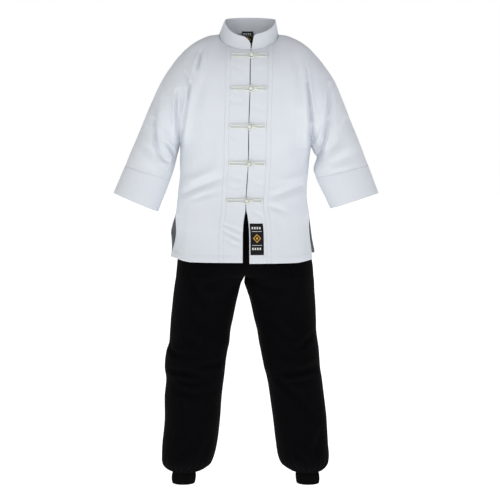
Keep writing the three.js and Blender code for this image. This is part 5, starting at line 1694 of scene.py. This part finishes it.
def trouser_panel(face, side):
    """The front or back of one trouser leg, from the waist to the ankle."""
    name = f"trouser_{face}_{side}"
    levels = leg_levels()
    shares = [0, LEG_EDGE, *np.linspace(0, 1, LEG_ACROSS + 1)[1:-1], 1 - LEG_EDGE, 1]
    grid = []
    for z in levels:
        middle, half_width, start, front, back, middle_y = leg_section(side, z)
        row = []
        for share in shares:
            place = math.sin(lerp(start, math.pi / 2, share))
            depth = (front if face == "front" else back) * bulge(place, LEG_ROUNDNESS)
            x = middle + SIDES[side] * half_width * place
            row.append((x, middle_y + FACES[face] * depth, z))
        grid.append(row)
    grid = np.array(grid)
    crotch_row = levels.index(CROTCH)
    inside = (leg_section(side, KNEE_Z)[0], 0, KNEE_Z)
    grid = press(grid, name, False, inside, tuple(EDGES), swell=TROUSER_SWELL)
    normals = outward_normals(grid, False, inside)
    z = np.array(levels)[:, None]
    share = np.array(shares)[None, :]
    at_edges = np.clip(np.minimum(share, 1 - share) / EDGE_SHARE, 0, 1)
    seed = seed_of(name, 31)
    drift = 1.6 * rumple(grid * (1, 1, 0.35), 30, seed)
    gathered = gathers(ANKLE_GATHERS, z - ANKLE_Z, share, drift * 1.5)
    gathered = gathered + gathers(WAIST_GATHERS, WAIST_Z - z, share, drift)
    grid = grid + normals * (gathered * at_edges)[..., None]
    planes = [
        (np.s_[:, -1], (0, 1, 0)),
        (np.s_[crotch_row:, 0], (0, 1, 0)),
        (np.s_[:crotch_row, 0], (1, 0, 0)),
        (np.s_[0], (0, 0, 1)),
        (np.s_[-1], (0, 0, 1)),
    ]
    piece = cloth(name, grid, False, inside, planes, COTTON, BLACK_COTTON,
                  sewn_edges=tuple(EDGES))
    if face == "front":
        return []
    return [line_on(piece, np.s_[2:-4, -4]), line_on(piece, np.s_[2:crotch_row - 6, 3])]


def band_grid(sections, around, ribs, rib_height):
    """An upright ring of gathered cloth through level sections."""
    angles = 2 * np.pi * np.arange(around) / around
    grid = []
    for middle, half_width, middle_y, front, back, z in sections:
        share = np.cos(angles)
        depth = np.array([bulge(value, LEG_ROUNDNESS) for value in share])
        depth *= np.where(np.sin(angles) > 0, -front, back)
        row = np.stack([middle + half_width * share, middle_y + depth, np.full(around, z)], axis=1)
        grid.append(row)
    grid = np.array(grid)
    inside = grid.mean(axis=(0, 1))
    normals = outward_normals(grid, True, inside)
    wander = 0.6 * rumple(grid * (1, 1, 0.4), 18, 5)
    ripple = rib_height * np.cos(ribs * angles + wander)
    return grid + normals * ripple[..., None], inside


LEVEL_ENDS = [(np.s_[0], (0, 0, 1)), (np.s_[-1], (0, 0, 1))]
WAIST_RIBS = {"around": 360, "ribs": 88, "rib_height": 0.7}
WAIST_LINES = (3, 6, 9)       # rows of the waistband that are stitched
ANKLE_RIBS = {"around": 300, "ribs": 54, "rib_height": 0.75}
ANKLE_LEVELS = [
    -1316, -1316.6, -1318, -1320, -1322.5, *np.linspace(-1325, -1346, 12), -1348, -1349.4, -1350,
]


def waistband():
    """The elastic waistband, with its rows of stitches."""
    right, left, front, back = (seat[name](WAIST_Z) for name in ("right", "left", "front", "back"))
    section = ((left + right) / 2, (left - right) / 2, 0, front, back)
    heights = np.array([1, 0.97, *np.linspace(0.92, 0.08, 9), 0.03, 0]) * WAISTBAND_HEIGHT
    sections = [(*section, WAIST_Z + height) for height in heights]
    grid, inside = band_grid(sections, **WAIST_RIBS)
    piece = cloth("waistband", grid, True, inside, LEVEL_ENDS, WAISTBAND_CLOTH, BLACK_COTTON,
                  free=("top",), sewn_edges=("bottom",))
    all_round = np.r_[0:grid.shape[1], 0]
    return [line_on(piece, np.s_[row, all_round]) for row in WAIST_LINES]


def ankle_cuff(side):
    """The elastic cuff at the end of a leg, turned under at its lower edge."""
    sections = []
    for z in ANKLE_LEVELS:
        outer, inner = ankle[f"{side}_outer"](z), ankle[f"{side}_inner"](z)
        depths = ankle["front"](z), ankle["back"](z)
        sections.append(((outer + inner) / 2, abs(outer - inner) / 2, ANKLE_MIDDLE_Y, *depths, z))
    grid, inside = band_grid(sections, **ANKLE_RIBS)
    cloth(f"ankle_cuff_{side}", grid, True, inside, LEVEL_ENDS, ELASTIC, BLACK_ELASTIC,
          free=("bottom",), sewn_edges=("top",))


CAMERA_PLACE = (6, -4000, -350)
CAMERA_AIM = (6, 0, -640.7)
LENS = 96.25
SENSOR = 36
# The stage is in metres
CAMERA_REACH = 50
FLOOR_DROP = 0.06             # the floor is this far under the ankle cuffs
FLOOR_REACH = 30
FLOOR_GLOW = 0.9
ROOM_LIGHT = 0.37             # light of the surroundings, as a share of how bright they look
UNIFORM_MIDDLE = (0, 0, -0.6)
LIGHTS = table("name place size power color", [
    ("key", (2.3, -2.6, 1.5), 0.7, 16.5, (0.92, 0.92, 1.0)),
    ("fill", (-2.5, -2.5, 1.4), 0.7, 13, (0.93, 1.0, 0.93)),
    ("front", (0, -3.2, 0.6), 0.8, 12, (0.98, 0.99, 0.97)),
])


def camera():
    data = bpy.data.cameras.new("camera")
    data.lens = LENS
    data.sensor_width = SENSOR
    data.clip_end = CAMERA_REACH
    obj = bpy.data.objects.new("camera", data)
    obj.location = Vector(CAMERA_PLACE) * MM
    aim = Vector(CAMERA_AIM) * MM - obj.location
    obj.rotation_euler = aim.to_track_quat("-Z", "Y").to_euler()
    bpy.context.scene.collection.objects.link(obj)
    bpy.context.scene.camera = obj


def area_light(name, place, size, power, color):
    """A soft round light that faces the middle of the uniform."""
    data = bpy.data.lights.new(name, "AREA")
    data.shape = "DISK"
    data.size = size
    data.energy = power
    data.color = color
    obj = bpy.data.objects.new(name, data)
    obj.location = place
    aim = Vector(UNIFORM_MIDDLE) - obj.location
    obj.rotation_euler = aim.to_track_quat("-Z", "Y").to_euler()
    bpy.context.scene.collection.objects.link(obj)


def floor():
    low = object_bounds()[0][2] - FLOOR_DROP
    mesh = bpy.data.meshes.new("floor")
    signs = ((-1, -1), (1, -1), (1, 1), (-1, 1))
    corners = [(x * FLOOR_REACH, y * FLOOR_REACH, low) for x, y in signs]
    mesh.from_pydata(corners, [], [(0, 1, 2, 3)])
    material, _, shader = shader_of("floor", 0.9, 0, 0.1)
    shader.inputs["Base Color"].default_value = (0.9, 0.9, 0.9, 1)
    shader.inputs["Emission Color"].default_value = (1, 1, 1, 1)
    shader.inputs["Emission Strength"].default_value = FLOOR_GLOW
    mesh.materials.append(material)
    obj = bpy.data.objects.new("floor", mesh)
    bpy.context.scene.collection.objects.link(obj)
    obj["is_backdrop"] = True


def surroundings():
    """White surroundings, which give less light than they show."""
    world = bpy.data.worlds.new("studio")
    world.use_nodes = True
    tree = world.node_tree
    background = tree.nodes["Background"]
    background.inputs[0].default_value = (1, 1, 1, 1)
    seen = tree.nodes.new("ShaderNodeLightPath").outputs["Is Camera Ray"]
    strength = plus(tree, times(tree, seen, 1 - ROOM_LIGHT), ROOM_LIGHT)
    tree.links.new(strength, background.inputs[1])
    bpy.context.scene.world = world


def stage():
    """A plain pale floor, soft studio light and white surroundings."""
    floor()
    surroundings()
    for light in LIGHTS:
        area_light(**light)
    bpy.context.scene.view_settings.view_transform = "Standard"


HEM_LINE = 2                  # rows from the top of the turned hem to its stitches
FRONT_VENT_LINES = (-5,)      # columns of the stitches beside the vents
BACK_VENT_LINES = (4, -5)


def hem_line(piece, side):
    return line_on(piece, nearest_index(row_levels(side), HEM_TOP) + HEM_LINE)


def vent_lines(piece, side, columns):
    return [line_on(piece, np.s_[vent_row_of(side):, column]) for column in columns]


def build():
    """Every piece, and the stitches of the jacket and the trousers as one mesh each."""
    jacket_runs = []
    back = back_panel()
    fronts = {side: front_panel(side) for side in SIDES}
    for side, front in fronts.items():
        jacket_runs += placket_strip(side, front)
        jacket_runs += [hem_line(front, side), line_on(front, np.s_[:, 2])]
        jacket_runs += vent_lines(front, side, FRONT_VENT_LINES)
        jacket_runs += sleeve(side)
    jacket_runs += [hem_line(back, "left"), *vent_lines(back, "left", BACK_VENT_LINES)]
    jacket_runs += [line_on(back, 2)]
    jacket_runs += collar()
    stitching("jacket_stitches", jacket_runs, WHITE_THREAD)
    hem_patch(fronts["left"])
    neck_label()
    on_front = front_surface(fronts)
    for number, frog in enumerate(FROGS, 1):
        frog_closure(number, frog, on_front)
    trouser_runs = waistband()
    for side in SIDES:
        for face in FACES:
            trouser_runs += trouser_panel(face, side)
        ankle_cuff(side)
    stitching("trouser_stitches", trouser_runs, BLACK_THREAD)


build()
camera()
stage()
